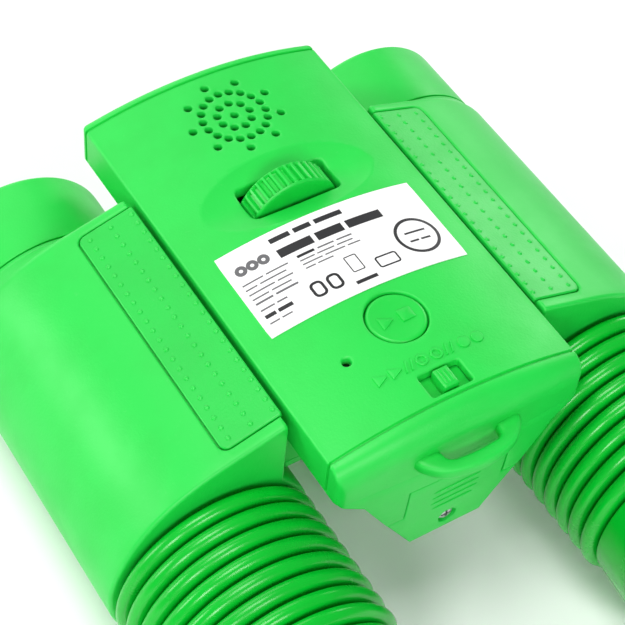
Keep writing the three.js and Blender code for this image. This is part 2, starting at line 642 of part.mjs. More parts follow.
// ---- focusing --------------------------------------------------------------------------------
function focusWheel() {
  const shape = new THREE.Shape();
  const step = (2 * Math.PI) / WHEEL_RIBS;
  for (let i = 0; i < WHEEL_RIBS; i += 1) {
    const a = i * step;
    const crest = WHEEL_R + RIB_H;
    for (const [part, r] of [[-0.36, WHEEL_R], [-0.2, crest], [0.2, crest], [0.36, WHEEL_R]]) {
      const [x, z] = [r * Math.sin(a + part * step), r * Math.cos(a + part * step)];
      if (i === 0 && part === -0.36) shape.moveTo(x, z);
      else shape.lineTo(x, z);
    }
  }
  shape.closePath();
  const y0 = WHEEL_Y - WHEEL_W / 2;
  const y1 = WHEEL_Y + WHEEL_W / 2;
  const rim = WHEEL_R + RIB_H + 0.1;
  const chamfer = [[0, y0], [rim - 0.8, y0], [rim, y0 + 0.8], [rim, y1 - 0.8], [rim - 0.8, y1], [0, y1]];
  const wheel = alongY(shape, y0, y1).intersect(turned(chamfer, 0, 0, 40));
  const bore = turned(discProfile(SPINDLE_R + 0.1, y0 - 1, y1 + 1), 0, 0, 16);
  return wheel.subtract(bore).translate([0, 0, WHEEL_Z]);
}

const focusSpindle = () => turned(discProfile(SPINDLE_R, SPINDLE_Y0, SPINDLE_Y1), 0, WHEEL_Z, 16);

function lensCarriage() {
  const [y0, y1] = [CARRIAGE_Y - CARRIAGE_T / 2, CARRIAGE_Y + CARRIAGE_T / 2];
  let carriage = box(-BARREL_X, BARREL_X, y0, y1, BAR_Z - BAR_H / 2, BAR_Z + BAR_H / 2);
  carriage = carriage.add(box(-2.2, 2.2, y0, y1, BAR_Z, WHEEL_Z));
  carriage = carriage.add(turned(discProfile(NUT_R, y0, y1), 0, WHEEL_Z, 20));
  const seat = discProfile(FOCUS_R + GAP, y0 - 1, y1 + 1);
  for (const side of [-1, 1]) {
    carriage = carriage.add(turned(discProfile(CARRIER_R, y0, y1), side * BARREL_X, BARREL_Z, 24));
    carriage = carriage.subtract(turned(seat, side * BARREL_X, BARREL_Z, 24));
  }
  return carriage.subtract(turned(discProfile(SPINDLE_R + GAP, y0 - 1, y1 + 1), 0, WHEEL_Z, 16));
}

// ---- controls --------------------------------------------------------------------------------
function startStopButton() {
  const profile = [
    [0, BUTTON_TOP - 0.6], [BUTTON_R * 0.6, BUTTON_TOP - 0.4],
    [BUTTON_R - 0.8, BUTTON_TOP], [BUTTON_R - 0.2, BUTTON_TOP - 0.2],
    [BUTTON_R, BUTTON_TOP - 0.7], [BUTTON_R, BUTTON_LOW + 1.2], [BUTTON_R + 0.9, BUTTON_LOW + 1.2],
    [BUTTON_R + 0.9, BUTTON_LOW], [0, BUTTON_LOW],
  ];
  const mark = alongZ(polygon([[-3.4, -1.7], [-3.4, 1.7], [-0.5, 0]]), BUTTON_TOP - 1, BUTTON_TOP - 0.1)
    .add(box(0.6, 3.4, -1.4, 1.4, BUTTON_TOP - 1, BUTTON_TOP - 0.1));
  return turnedUp(profile, 0, 0, 24).add(mark).translate([0, BUTTON_Y, 0]);
}

const tactSwitch = () => box(-3, 3, BUTTON_Y - 3, BUTTON_Y + 3, BOARD_Z + BOARD_T + 0.05, -2)
  .add(turnedUp(discProfile(1.6, -2.2, BUTTON_LOW - BUTTON_STROKE - GAP), 0, BUTTON_Y, 14));

function modeSwitchKnob() {
  const [x, y] = [KNOB_W / 2, KNOB_D / 2];
  let knob = box(-x, x, SLOT_Y - y, SLOT_Y + y, 0.5, KNOB_TOP);
  knob = knob.add(box(-x - 3.4, x + 3.4, SLOT_Y - y - 1.2, SLOT_Y + y + 1.2, 0.5, KNOB_FLANGE));
  for (const line of [-1, 0, 1]) {
    const [y0, y1] = [SLOT_Y - y + 0.6, SLOT_Y + y - 0.6];
    knob = knob.add(box(line - 0.25, line + 0.25, y0, y1, KNOB_TOP - 1, KNOB_TOP + 0.25));
  }
  return knob.subtract(box(-1 - 0.2, 1 + 0.2, SLOT_Y - 1.2, SLOT_Y + 1.2, 0, 1.9));
}

const slideSwitch = () => box(-6, 6, SLOT_Y - 3, SLOT_Y + 3, BOARD_Z + BOARD_T + 0.05, -1).subtract(
  box(-4, 4, SLOT_Y - 1.4, SLOT_Y + 1.4, -1.8, 0));

const switchLever = () => box(-1, 1, SLOT_Y - 1, SLOT_Y + 1, -1.6, 1.5);

const circuitBoard = () => box(-BOARD_X, BOARD_X, BOARD_Y0, BOARD_Y1, BOARD_Z, BOARD_Z + BOARD_T);
const microphone = () => turnedUp(
  discProfile(3, BOARD_Z + BOARD_T + 0.05, archTop(Math.abs(MIC_X) + 3) - WALL - GAP), MIC_X, MIC_Y, 20);
const boardPost = (x, y) => box(x - 2, x + 2, y - 2, y + 2, TRAY_Z + 0.05, BOARD_Z - 0.05);

// ---- speaker, batteries, label ----------------------------------------------------------------
function speakerFrame() {
  const profile = [
    [0, -7.5], [7, -7.5], [7, -4.5], [10, -3], [SPEAKER_R - 1, -1], [SPEAKER_R, -1], [SPEAKER_R, 0.7],
    [SPEAKER_R - 1, 0.7], [SPEAKER_R - 1.2, 0], [9.4, -2], [6, -4], [0, -4],
  ];
  return turnedUp(profile, 0, GRILLE_Y, 20);
}

const speakerCone = () => turnedUp([
  [0, -2.2], [3.6, -2.4], [5, -2.6], [11.4, 0.05], [SPEAKER_R - 1.4, 0.05], [SPEAKER_R - 1.4, 0.5],
  [11.2, 0.5], [4.4, -1.6], [0, -0.9],
], 0, GRILLE_Y, 20);

function batteryCell(x, z, flip) {
  const [lo, hi] = [-CELL_L / 2, CELL_L / 2];
  const profile = [
    [0, lo], [CELL_R - 0.6, lo], [CELL_R, lo + 0.6], [CELL_R, hi - 1.4], [CELL_R - 0.6, hi - 0.9],
    [1.8, hi - 0.9], [1.8, hi], [0, hi],
  ];
  const solid = turned(profile, 0, 0, 14);
  return (flip ? solid.rotate([0, 0, 180]) : solid).translate([x, CELL_Y, z]);
}

function contactPlate(y0, y1) {
  const z0 = CELL_LOW_Z - 3;
  const [wide, top, low] = [CELL_X + 4, CELL_Z + 3.5, CELL_Z - 3];
  return alongY(polygon([[wide, top], [wide, low], [3, z0], [-3, z0], [-wide, low], [-wide, top]]), y0, y1);
}

// paper label bent over the arch
function productLabel() {
  const half = LABEL_W / 2;
  const angle = Math.asin(half / ARCH_R);
  const shape = new THREE.Shape();
  const [r0, r1] = [ARCH_R + 0.05, ARCH_R + 0.05 + LABEL_T];
  shape.absarc(0, ARCH_Z, r1, Math.PI / 2 - angle, Math.PI / 2 + angle);
  shape.absarc(0, ARCH_Z, r0, Math.PI / 2 + angle, Math.PI / 2 - angle, true);
  shape.closePath();
  return alongY(shape, LABEL_Y0, LABEL_Y1, 10);
}

// ---- assembly --------------------------------------------------------------------------------
put('top_cover', topCover(), GREEN);
put('lower_housing', lowerHousing(), GREEN);
put('battery_door', batteryDoor(), GREEN);
put('bridge_cover', bridgeCover(), GREEN);
put('start_stop_button', startStopButton(), GREEN_DEEP);
put('mode_switch_knob', modeSwitchKnob(), GREEN_DEEP);
put('focus_wheel', focusWheel(), GREEN_DEEP);
put('focus_spindle', focusSpindle(), STEEL);
put('lens_carriage', lensCarriage(), BLACK);
put('product_label', productLabel(), WHITE);

for (const [side, sign] of [['left', -1], ['right', 1]]) {
  const place = (solid) => (sign < 0 ? solid.mirror([1, 0, 0]) : solid);
  put(`barrel_shell_${side}`, place(barrelShell()), GREEN);
  put(`grip_panel_${side}`, place(gripPanel()), GREEN);
  put(`eyecup_${side}`, place(eyecup()), GREEN_DEEP);
  put(`objective_hood_${side}`, place(objectiveHood()), GREEN);
  put(`objective_lens_${side}`, place(lens(OBJECTIVE_Y, 2, 1.2)), GLASS);
  put(`objective_ring_${side}`, place(retainingRing(OBJECTIVE_Y + 2.1 - 0.8)), BLACK);
  put(`focus_lens_${side}`, place(lens(CARRIAGE_Y, 1.6, 0.9, FOCUS_R)), GLASS);
  put(`ocular_mount_${side}`, place(ocularMount()), BLACK);
  put(`ocular_lens_${side}`, place(lens(OCULAR_Y, 2, 0.8, OCULAR_R)), GLASS);
  put(`ocular_ring_${side}`, place(ocularRing()), BLACK);
}

put('circuit_board', circuitBoard(), BOARD);
const postTie = box(-12, 12, 5, 7, TRAY_Z + 0.05, TRAY_Z + 2);
put('board_post_near', boardPost(-12, 6).add(boardPost(12, 6)).add(postTie), GREEN);
put('tact_switch', tactSwitch(), BLACK);
put('slide_switch', slideSwitch(), STEEL);
put('switch_lever', switchLever(), BLACK);
put('microphone', microphone(), STEEL);
put('speaker_frame', speakerFrame(), STEEL);
put('speaker_cone', speakerCone(), CONE);
put('battery_cell_1', batteryCell(-CELL_X, CELL_Z, false), CELL);
put('battery_cell_2', batteryCell(CELL_X, CELL_Z, true), CELL);
put('battery_cell_3', batteryCell(0, CELL_LOW_Z, false), CELL);
put('contact_plate_near', contactPlate(CELL_Y - CELL_L / 2 - GAP - 0.5, CELL_Y - CELL_L / 2 - GAP), STEEL);
put('contact_plate_far', contactPlate(CELL_Y + CELL_L / 2 + GAP, CELL_Y + CELL_L / 2 + GAP + 0.5), STEEL);

put('battery_screw', screwBody(4).rotate([-90, 0, 0]).translate([0, COVER_Y0 + 1.25, SCREW_DOOR_Z]), STEEL);
SCREW_Y.forEach((y, row) => {
  [-1, 1].forEach((sign) => {
    const name = `case_screw_${row ? 'far' : 'near'}_${sign < 0 ? 'left' : 'right'}`;
    put(name, screwBody(SCREW_L).translate([sign * SCREW_X, y, BRIDGE_Z - GAP - PLATE_T - 0.05]), STEEL);
  });
});

export default group;
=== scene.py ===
"""Toy binoculars with a voice recorder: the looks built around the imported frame."""
import logging
import math
from dataclasses import dataclass, field
from enum import Enum
from typing import Any, Callable, Iterable, Optional, Sequence

import bmesh
import bpy
import numpy as np
from mathutils import Matrix, Vector


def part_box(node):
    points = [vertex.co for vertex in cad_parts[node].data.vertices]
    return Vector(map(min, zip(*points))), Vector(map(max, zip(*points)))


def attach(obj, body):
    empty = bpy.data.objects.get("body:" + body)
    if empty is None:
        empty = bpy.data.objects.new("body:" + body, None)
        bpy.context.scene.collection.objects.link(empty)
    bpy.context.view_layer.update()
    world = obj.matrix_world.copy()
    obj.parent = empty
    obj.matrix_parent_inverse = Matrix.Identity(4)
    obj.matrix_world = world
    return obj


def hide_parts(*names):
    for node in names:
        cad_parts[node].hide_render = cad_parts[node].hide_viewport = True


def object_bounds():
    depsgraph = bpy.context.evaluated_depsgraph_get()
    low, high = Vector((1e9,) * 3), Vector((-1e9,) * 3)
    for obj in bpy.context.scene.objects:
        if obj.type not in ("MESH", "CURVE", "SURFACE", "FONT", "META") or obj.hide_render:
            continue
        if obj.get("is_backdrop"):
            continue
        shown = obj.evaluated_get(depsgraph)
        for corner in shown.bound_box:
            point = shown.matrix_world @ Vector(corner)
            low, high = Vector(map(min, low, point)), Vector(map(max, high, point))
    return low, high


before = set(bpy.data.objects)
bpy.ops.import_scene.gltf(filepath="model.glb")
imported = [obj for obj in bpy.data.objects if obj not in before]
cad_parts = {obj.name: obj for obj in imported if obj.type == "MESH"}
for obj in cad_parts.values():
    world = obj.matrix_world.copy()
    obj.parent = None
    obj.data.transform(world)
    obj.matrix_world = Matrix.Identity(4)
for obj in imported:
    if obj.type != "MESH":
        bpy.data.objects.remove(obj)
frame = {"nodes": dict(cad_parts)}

LOG = logging.getLogger("binoculars")
MM = 0.001
INK = 0.05  # thickness of the printed bars, in millimetres
FLOOR_HALF = 4  # half size of the floor, in metres
CAD_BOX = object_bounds()
Array = np.ndarray


class Side(Enum):
    """The two barrels, by the sign of their X."""

    LEFT = -1
    RIGHT = 1

    @property
    def word(self) -> str:
        """Name of the side as the nodes spell it."""
        return self.name.lower()


class Slot(Enum):
    """Material slots of the record."""

    SHELL = "shell_green"
    CONTROL = "control_green"
    CUP = "cup_green"
    LABEL = "label_white"
    GLASS = "lens_glass"
    BLACK = "black_plastic"
    STEEL = "steel"
    BOARD = "board_green"
    CONE = "cone_paper"
    CELL = "cell_wrap"


# ---------------------------------------------------------------------------------------------
# Design grid: all shapes are drawn in millimetres from the cover's near groove and side edge
# ---------------------------------------------------------------------------------------------
@dataclass(frozen=True)
class Datum:
    """Where the drawing's zero and the barrel axes lie in the frame.

    Args:
        groove_y: frame Y of the cover's near groove, in metres.
        edge_z: frame Z of the cover's side edges, in metres.
        barrel_x: distance of the barrel axes from the middle plane, in millimetres.
        barrel_z: height of the barrel axes from the side edges, in millimetres.
    """

    groove_y: float
    edge_z: float
    barrel_x: float
    barrel_z: float

    @classmethod
    def from_frame(cls) -> "Datum":
        """Reads the datum from the boxes of the cover and one hood.

        Returns:
            The datum.
        """
        cover_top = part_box("top_cover")[1]
        low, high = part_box("objective_hood_right")
        edge_z = cover_top[2] - CoverSizes.rise * MM
        middle = [(a + b) / 2 for a, b in zip(low, high)]
        return cls(cover_top[1] - CoverSizes.far_y * MM, edge_z, middle[0] / MM, (middle[2] - edge_z) / MM)

    def place(self, points: Array) -> Array:
        """Turns drawing millimetres into frame metres."""
        return points * MM + np.array([0.0, self.groove_y, self.edge_z])

    def drawn(self, points: Array) -> Array:
        """Turns frame metres into drawing millimetres."""
        return (points - np.array([0, self.groove_y, self.edge_z])) / MM

    def drawn_box(self, node: str) -> Array:
        """Lowest and highest corner of a CAD node, in drawing millimetres."""
        return self.drawn(np.array(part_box(node)))


@dataclass(frozen=True)
class CoverSizes:
    """Sizes that several pieces share, in millimetres.

    Args:
        half_x: half width of the cover.
        near_y: Y of its near end wall.
        far_y: Y of its far end wall.
        rise: height of the arch above the side edges.
        skirt: depth of the side walls below the side edges.
        wall: wall thickness.
    """

    half_x: float = 30.0
    near_y: float = -4.2
    far_y: float = 106.0
    rise: float = 4.3
    skirt: float = 9.1
    wall: float = 2.0


ARCH_RADIUS = (CoverSizes.half_x ** 2 + CoverSizes.rise ** 2) / (2 * CoverSizes.rise)


def arch_height(x: Array) -> Array:
    """Height of the arched top at distances x from the middle plane: a circle of ARCH_RADIUS about a line along Y."""
    inside = np.clip(ARCH_RADIUS ** 2 - np.square(x), 0.0, None)
    return CoverSizes.rise - ARCH_RADIUS + np.sqrt(inside)


# ---------------------------------------------------------------------------------------------
# Outlines and ring stacks
# ---------------------------------------------------------------------------------------------
@dataclass(frozen=True)
class Outline:
    """A closed plan outline: each point is core + reach * direction.

    Args:
        core: (n, 2) centres of the corner arcs, run along the straight sides.
        direction: (n, 2) unit outward directions.
        reach: (n,) corner radius at each point.
        frame: middle and half sizes that no point leaves.
    """

    core: Array
    direction: Array
    reach: Array
    frame: tuple[float, float, float, float] = (0.0, 0.0, 1e9, 1e9)

    def at(self, inset: float = 0.0) -> Array:
        """Plan points moved inwards by `inset`, kept inside the frame (centre and half sizes) moved in too.

        Args:
            inset: how far the outline moves in.

        Returns:
            (n, 2) points.
        """
        points = self.core + (self.reach - inset)[:, None] * self.direction
        centre, half = np.array(self.frame[:2]), np.array(self.frame[2:])
        return np.clip(points, centre - half + inset, centre + half - inset)


def rounded_rectangle(half: tuple[float, float], radii: Sequence[float], straight: tuple[int, int],
                      arc: int = 6, centre: tuple[float, float] = (0.0, 0.0)) -> Outline:
    """Rectangle with its own radius at each corner, anticlockwise from the lower right.

    Args:
        half: half width and half length.
        radii: corner radii at lower right, upper right, upper left, lower left.
        straight: points along each X side and each Y side.
        arc: points on each corner.
        centre: middle of the rectangle.

    Returns:
        The outline.
    """
    signs = [(1, -1), (1, 1), (-1, 1), (-1, -1)]
    corners = [np.array([s[0] * (half[0] - r), s[1] * (half[1] - r)]) for s, r in zip(signs, radii)]
    cores, directions, reaches = [], [], []
    for k, radius in enumerate(radii):
        angle = np.radians(np.linspace(-90 + 90 * k, 90 * k, arc))
        cores.append(np.tile(corners[k], (arc, 1)))
        directions.append(np.stack([np.cos(angle), np.sin(angle)], 1))
        reaches.append(np.full(arc, radius))
        count = straight[1] if k % 2 == 0 else straight[0]
        t = np.linspace(0, 1, count + 2)[1:-1, None]
        after = (k + 1) % 4
        cores.append(corners[k] * (1 - t) + corners[after] * t)
        directions.append(np.tile(directions[-1][-1], (count, 1)))
        reaches.append(radius * (1 - t[:, 0]) + radii[after] * t[:, 0])
    return Outline(np.concatenate(cores) + np.array(centre), np.concatenate(directions), np.concatenate(reaches),
                   (*centre, *half))


def circle_outline(radius: float, count: int, centre: tuple[float, float] = (0.0, 0.0)) -> Outline:
    """A circle as an outline whose core is its centre.

    Args:
        radius: of the circle.
        count: points around.
        centre: X and Y of its middle.

    Returns:
        The outline.
    """
    angle = np.linspace(0, 2 * np.pi, count, endpoint=False)
    direction = np.stack([np.cos(angle), np.sin(angle)], 1)
    return Outline(np.tile(np.array(centre, float), (count, 1)), direction, np.full(count, float(radius)))


def spun_up(profile: Array, count: int, centre: tuple[float, float] = (0.0, 0.0)) -> Array:
    """Profile of (radius, z) turned about an upright line: (x, y) = centre + radius * (cos a, sin a).

    Args:
        profile: (k, 2) radii and heights.
        count: points around.
        centre: X and Y of the line.

    Returns:
        (k, count, 3) rings.
    """
    angle = np.linspace(0, 2 * np.pi, count, endpoint=False)
    radius = profile[:, :1]
    x = centre[0] + radius * np.cos(angle)
    y = centre[1] + radius * np.sin(angle)
    return np.stack([x, y, np.broadcast_to(profile[:, 1:], x.shape)], 2)


def spun(profile: Array, count: int, axis: tuple[float, float]) -> Array:
    """Profile of (radius, y) turned about a line along Y through (x, z) = axis."""
    return spun_up(profile, count, axis)[..., [0, 2, 1]]


def rounded_profile(corners: Sequence[tuple[float, float, float]], steps: int = 5, closed: bool = True) -> Array:
    """Polyline with each corner replaced by a quadratic curve that starts `radius` before it.

    Args:
        corners: (a, b, radius) of each corner.
        steps: points on each rounded corner.
        closed: whether the last corner joins the first.

    Returns:
        (k, 2) points.
    """
    points = np.array([c[:2] for c in corners], float)
    count = len(points)
    out = []
    for i, (_, _, radius) in enumerate(corners):
        here = points[i]
        if radius <= 0 or (not closed and i in (0, count - 1)):
            out.append(here[None])
            continue
        before, after = points[i - 1] - here, points[(i + 1) % count] - here
        start = here + before / np.linalg.norm(before) * min(radius, np.linalg.norm(before) * 0.49)
        end = here + after / np.linalg.norm(after) * min(radius, np.linalg.norm(after) * 0.49)
        t = np.linspace(0, 1, steps)[:, None]
        out.append((1 - t) ** 2 * start + 2 * t * (1 - t) * here + t ** 2 * end)
    return np.concatenate(out)


def smooth_step(t: Array) -> Array:
    """3t^2 - 2t^3 between 0 and 1, flat outside."""
    t = np.clip(t, 0.0, 1.0)
    return t * t * (3 - 2 * t)


@dataclass
class Shape:
    """Points and faces of one piece, gathered from ring stacks."""

    points: list[Array] = field(default_factory=list)
    quads: list[Array] = field(default_factory=list)
    triangles: list[Array] = field(default_factory=list)
    total: int = 0

    def add(self, rings: Array, wrap: bool = False, capped: bool = True, closed_rings: bool = True) -> "Shape":
        """Adds a stack of rings; neighbours are joined by quads.

        Args:
            rings: (k, n, 3) points, k rings of n points.
            wrap: join the last ring to the first.
            capped: close both ends with a fan about the ring's mean.
            closed_rings: join the last point of each ring to its first.

        Returns:
            This shape.
        """
        rows, cols = rings.shape[:2]
        grid = self.total + np.arange(rows * cols).reshape(rows, cols)
        beside = np.roll(grid, -1, axis=1) if closed_rings else grid[:, 1:]
        here = grid if closed_rings else grid[:, :-1]
        if wrap:
            nxt, nxt_beside = np.roll(here, -1, axis=0), np.roll(beside, -1, axis=0)
        else:
            here, nxt, beside, nxt_beside = here[:-1], here[1:], beside[:-1], beside[1:]
        faces = np.stack([here, beside, nxt_beside, nxt], -1).reshape(-1, 4)
        points = [rings.reshape(-1, 3)]
        fans = []
        if capped and not wrap:
            poles = self.total + rows * cols + np.arange(2)
            points.append(np.stack([rings[0].mean(0), rings[-1].mean(0)]))
            ring = np.roll(grid[0], -1)
            fans.append(np.stack([np.full(cols, poles[0]), ring, grid[0]], 1))
            ring = np.roll(grid[-1], -1)
            fans.append(np.stack([np.full(cols, poles[1]), grid[-1], ring], 1))
        block = np.concatenate(points)
        tris = np.concatenate(fans) if fans else np.zeros((0, 3), int)
        if self._volume(block, faces - self.total, tris - self.total) < 0:
            faces, tris = faces[:, ::-1], tris[:, ::-1]
        self.points.append(block)
        self.quads.append(faces)
        self.triangles.append(tris)
        self.total += len(block)
        return self

    @staticmethod
    def _volume(points: Array, quads: Array, tris: Array) -> float:
        """Signed volume of the block: the sum of a . (b x c) over its triangles.

        Args:
            points: all points.
            quads: faces of four points.
            tris: faces of three points.

        Returns:
            Six times the volume, positive if the faces point outwards.
        """
        whole = np.concatenate([quads[:, [0, 1, 2]], quads[:, [0, 2, 3]], tris])
        a, b, c = (points[whole[:, i]] for i in range(3))
        return float(np.einsum("ij,ij->i", a, np.cross(b, c)).sum())

    def mapped(self, change: Callable[[Array], Array]) -> "Shape":
        """Moves every point by a function of all points."""
        self.points = [change(block) for block in self.points]
        return self

    def flipped(self) -> "Shape":
        """Turns every face round.

        Returns:
            This shape.
        """
        self.quads = [faces[:, ::-1] for faces in self.quads]
        self.triangles = [faces[:, ::-1] for faces in self.triangles]
        return self

    def mirrored(self, side: Side) -> "Shape":
        """Flips X for the left side and keeps faces outward.

        Args:
            side: the side that the shape is for.

        Returns:
            This shape.
        """
        if side is Side.RIGHT:
            return self
        self.points = [block * np.array([-1.0, 1.0, 1.0]) for block in self.points]
        return self.flipped()

    def mesh_object(self, name: str, datum: Datum) -> bpy.types.Object:
        """Writes the shape into a new mesh object at the origin.

        Args:
            name: object name.
            datum: drawing to frame placement.

        Returns:
            The object, linked to the scene.
        """
        mesh = bpy.data.meshes.new(name)
        points = datum.place(np.concatenate(self.points))
        faces = [row for block in self.quads for row in block.tolist()]
        faces += [row for block in self.triangles for row in block.tolist()]
        mesh.from_pydata(points.tolist(), [], faces)
        thing = placed(name, mesh)
        weld(mesh)
        return thing


def placed(name: str, data: Any) -> bpy.types.Object:
    """Makes an object of a mesh, light or camera and links it to the scene.

    Args:
        name: object name.
        data: what it shows.

    Returns:
        The object.
    """
    thing = bpy.data.objects.new(name, data)
    bpy.context.scene.collection.objects.link(thing)
    return thing


def bake(thing: bpy.types.Object) -> None:
    """Keeps a piece as its modifiers leave it: a plain mesh with none of them.

    Args:
        thing: the piece.
    """
    graph = bpy.context.evaluated_depsgraph_get()
    result = bpy.data.meshes.new_from_object(thing.evaluated_get(graph))
    thing.modifiers.clear()
    old, thing.data = thing.data, result
    bpy.data.meshes.remove(old)


def weld(mesh: bpy.types.Mesh, distance: float = 2e-7) -> None:
    """Merges coincident points of a mesh and drops faces that vanish.

    Args:
        mesh: the mesh to change.
        distance: largest gap that closes, in metres.
    """
    work = bmesh.new()
    work.from_mesh(mesh)
    bmesh.ops.remove_doubles(work, verts=work.verts, dist=distance)
    bmesh.ops.dissolve_degenerate(work, edges=work.edges, dist=distance)
    work.to_mesh(mesh)
    work.free()


def soften(thing: bpy.types.Object, degrees: float) -> None:
    """Smooth shading with edges sharper than `degrees` kept crisp."""
    thing.data.shade_smooth()
    thing.data.set_sharp_from_angle(angle=math.radians(degrees))


def carve(thing: bpy.types.Object, tool: bpy.types.Object) -> None:
    """Cuts `tool` out of `thing` and keeps the result as plain mesh.

    Args:
        thing: the piece that is cut.
        tool: closed cutter, removed afterwards.
    """
    cut = thing.modifiers.new("cut", "BOOLEAN")
    cut.operation, cut.solver, cut.object = "DIFFERENCE", "EXACT", tool
    bake(thing)
    bpy.data.objects.remove(tool)
    weld(thing.data)


# ---------------------------------------------------------------------------------------------
# Shader graph
# ---------------------------------------------------------------------------------------------
class Value:
    """A number socket that grows Math nodes when it is used in an expression."""

    def __init__(self, graph: "Graph", socket: bpy.types.NodeSocket) -> None:
        """Wraps `socket` of `graph`."""
        self.graph, self.socket = graph, socket

    def _math(self, operation: str, *terms: Any) -> "Value":
        """Adds one Math node."""
        return Value(self.graph, self.graph.add("ShaderNodeMath", {"operation": operation}, dict(enumerate(terms))))

    def __add__(self, other: Any) -> "Value":
        """Sum."""
        return self._math("ADD", self, other)

    __radd__ = __add__

    def __sub__(self, other: Any) -> "Value":
        """Difference."""
        return self._math("SUBTRACT", self, other)

    def __rsub__(self, other: Any) -> "Value":
        """Reflected difference."""
        return self._math("SUBTRACT", other, self)

    def __mul__(self, other: Any) -> "Value":
        """Product."""
        return self._math("MULTIPLY", self, other)

    __rmul__ = __mul__

    def above(self, low: float, high: float) -> "Value":
        """0 below `low`, 1 above `high`, smooth between."""
        node = {"interpolation_type": "SMOOTHSTEP", "data_type": "FLOAT"}
        return Value(self.graph, self.graph.add("ShaderNodeMapRange", node, {"Value": self, 1: low, 2: high}))


class Graph:
    """The node tree of one material."""

    def __init__(self, name: str) -> None:
        """Starts an empty material called `name`.

        Args:
            name: of the material.
        """
        self.material = bpy.data.materials.new(name)
        self.material.use_nodes = True
        self.tree = self.material.node_tree
        self.tree.nodes.clear()

    def add(self, kind: str, settings: Optional[dict[str, Any]] = None, inputs: Optional[dict[Any, Any]] = None,
            output: Any = 0) -> bpy.types.NodeSocket:
        """Adds a node: settings first, then its sockets.

        Args:
            kind: node type.
            settings: attributes of the node, set before its sockets.
            inputs: values or links by socket name or number.
            output: which output to return.

        Returns:
            The output socket.
        """
        node = self.tree.nodes.new(kind)
        for key, value in (settings or {}).items():
            setattr(node, key, value)
        for key, value in (inputs or {}).items():
            source = value.socket if isinstance(value, Value) else value
            if isinstance(source, bpy.types.NodeSocket):
                self.tree.links.new(source, node.inputs[key])
            else:
                node.inputs[key].default_value = source
        return node.outputs[output] if node.outputs else None

    def where(self) -> bpy.types.NodeSocket:
        """The piece's own Object coordinates."""
        return self.add("ShaderNodeTexCoord", output="Object")

    def noise(self, size_mm: float, detail: float = 2.0, roughness: float = 0.5,
              stretch: tuple[float, float, float] = (1, 1, 1)) -> Value:
        """Noise whose features are about `size_mm` across.

        Args:
            size_mm: feature size.
            detail: octaves.
            roughness: weight of the finer octaves.
            stretch: scale of each axis.

        Returns:
            The noise value, 0 to 1.
        """
        place = self.add("ShaderNodeMapping", {}, {"Vector": self.where(), "Scale": stretch})
        return Value(self, self.add("ShaderNodeTexNoise", {"noise_dimensions": "3D"}, {
            "Vector": place, "Scale": 1 / (size_mm * MM), "Detail": detail, "Roughness": roughness}))

    def blend(self, factor: Value, first: Any, second: Any) -> bpy.types.NodeSocket:
        """Mixes two colours by a value."""
        return self.add("ShaderNodeMix", {"data_type": "RGBA"}, {0: factor, 6: first, 7: second}, output=2)

    def bump(self, height: Value, distance_mm: float, strength: float = 1.0) -> bpy.types.NodeSocket:
        """Normal bent by a height value."""
        return self.add("ShaderNodeBump", {}, {"Height": height, "Distance": distance_mm * MM, "Strength": strength})

    def finish(self, constants: dict[str, Any], links: dict[str, Any]) -> bpy.types.Material:
        """Closes the graph with a Principled surface.

        Args:
            constants: sockets set to one value all over.
            links: sockets that vary over the surface.

        Returns:
            The material.
        """
        surface = self.add("ShaderNodeBsdfPrincipled", {}, {**constants, **links})
        self.add("ShaderNodeOutputMaterial", {}, {"Surface": surface})
        return self.material


def rgba(red: float, green: float, blue: float) -> tuple[float, float, float, float]:
    """Opaque linear colour."""
    return (red, green, blue, 1.0)


@dataclass(frozen=True)
class MouldedPlastic:
    """Pigmented moulding: faint flow mottling, fine moulded grain, light scuffs.

    Args:
        name: material name.
        colour: main linear colour.
        deep: colour of the denser pigment patches.
        rough: middle roughness.
        grain_mm: size of the moulded grain.
        grain_depth_mm: height of the grain.
        coat: weight of the clear skin.
        glow: subsurface weight of the translucent pigment.
        scuffs: strength of the light scuffs and specks.
        gloss: specular level.
    """

    name: str
    colour: tuple[float, float, float]
    deep: tuple[float, float, float]
    rough: float
    grain_mm: float = 0.32
    grain_depth_mm: float = 0.006
    coat: float = 0.0
    glow: float = 0.05
    scuffs: float = 1.0
    gloss: float = 0.5

    def make(self) -> bpy.types.Material:
        """Builds the material: colour = mix(colour, deep, flow), roughness = rough + flow and scuffs.

        Returns:
            The material.
        """
        graph = Graph(self.name)
        flow = graph.noise(14.0, 3.0, 0.55).above(0.38, 0.68)
        specks = graph.noise(0.9, 2.0, 0.6).above(0.62, 0.8)
        grain = graph.noise(self.grain_mm, 2.0, 0.55)
        waves = graph.noise(5.0, 1.0, 0.4)
        scuff = graph.noise(2.4, 4.0, 0.7, (1.0, 5.0, 1.0)).above(0.66, 0.74)
        tint = graph.blend(flow * 0.55, rgba(*self.colour), rgba(*self.deep))
        tint = graph.blend(specks * (0.06 * self.scuffs), tint, rgba(*(0.6 * c + 0.25 for c in self.colour)))
        wear = specks * (0.03 * self.scuffs) + scuff * (0.04 * self.scuffs)
        rough = flow * 0.05 + wear + (self.rough - 0.04) + grain * 0.04
        relief = grain * 1.0 + waves * 1.4
        return graph.finish({
            "IOR": 1.5, "Specular IOR Level": self.gloss, "Coat Weight": self.coat, "Coat Roughness": 0.12,
            "Subsurface Weight": self.glow, "Subsurface Radius": (0.4, 1.0, 0.35), "Subsurface Scale": 0.0016,
        }, {"Base Color": tint, "Roughness": rough, "Normal": graph.bump(relief, self.grain_depth_mm)})


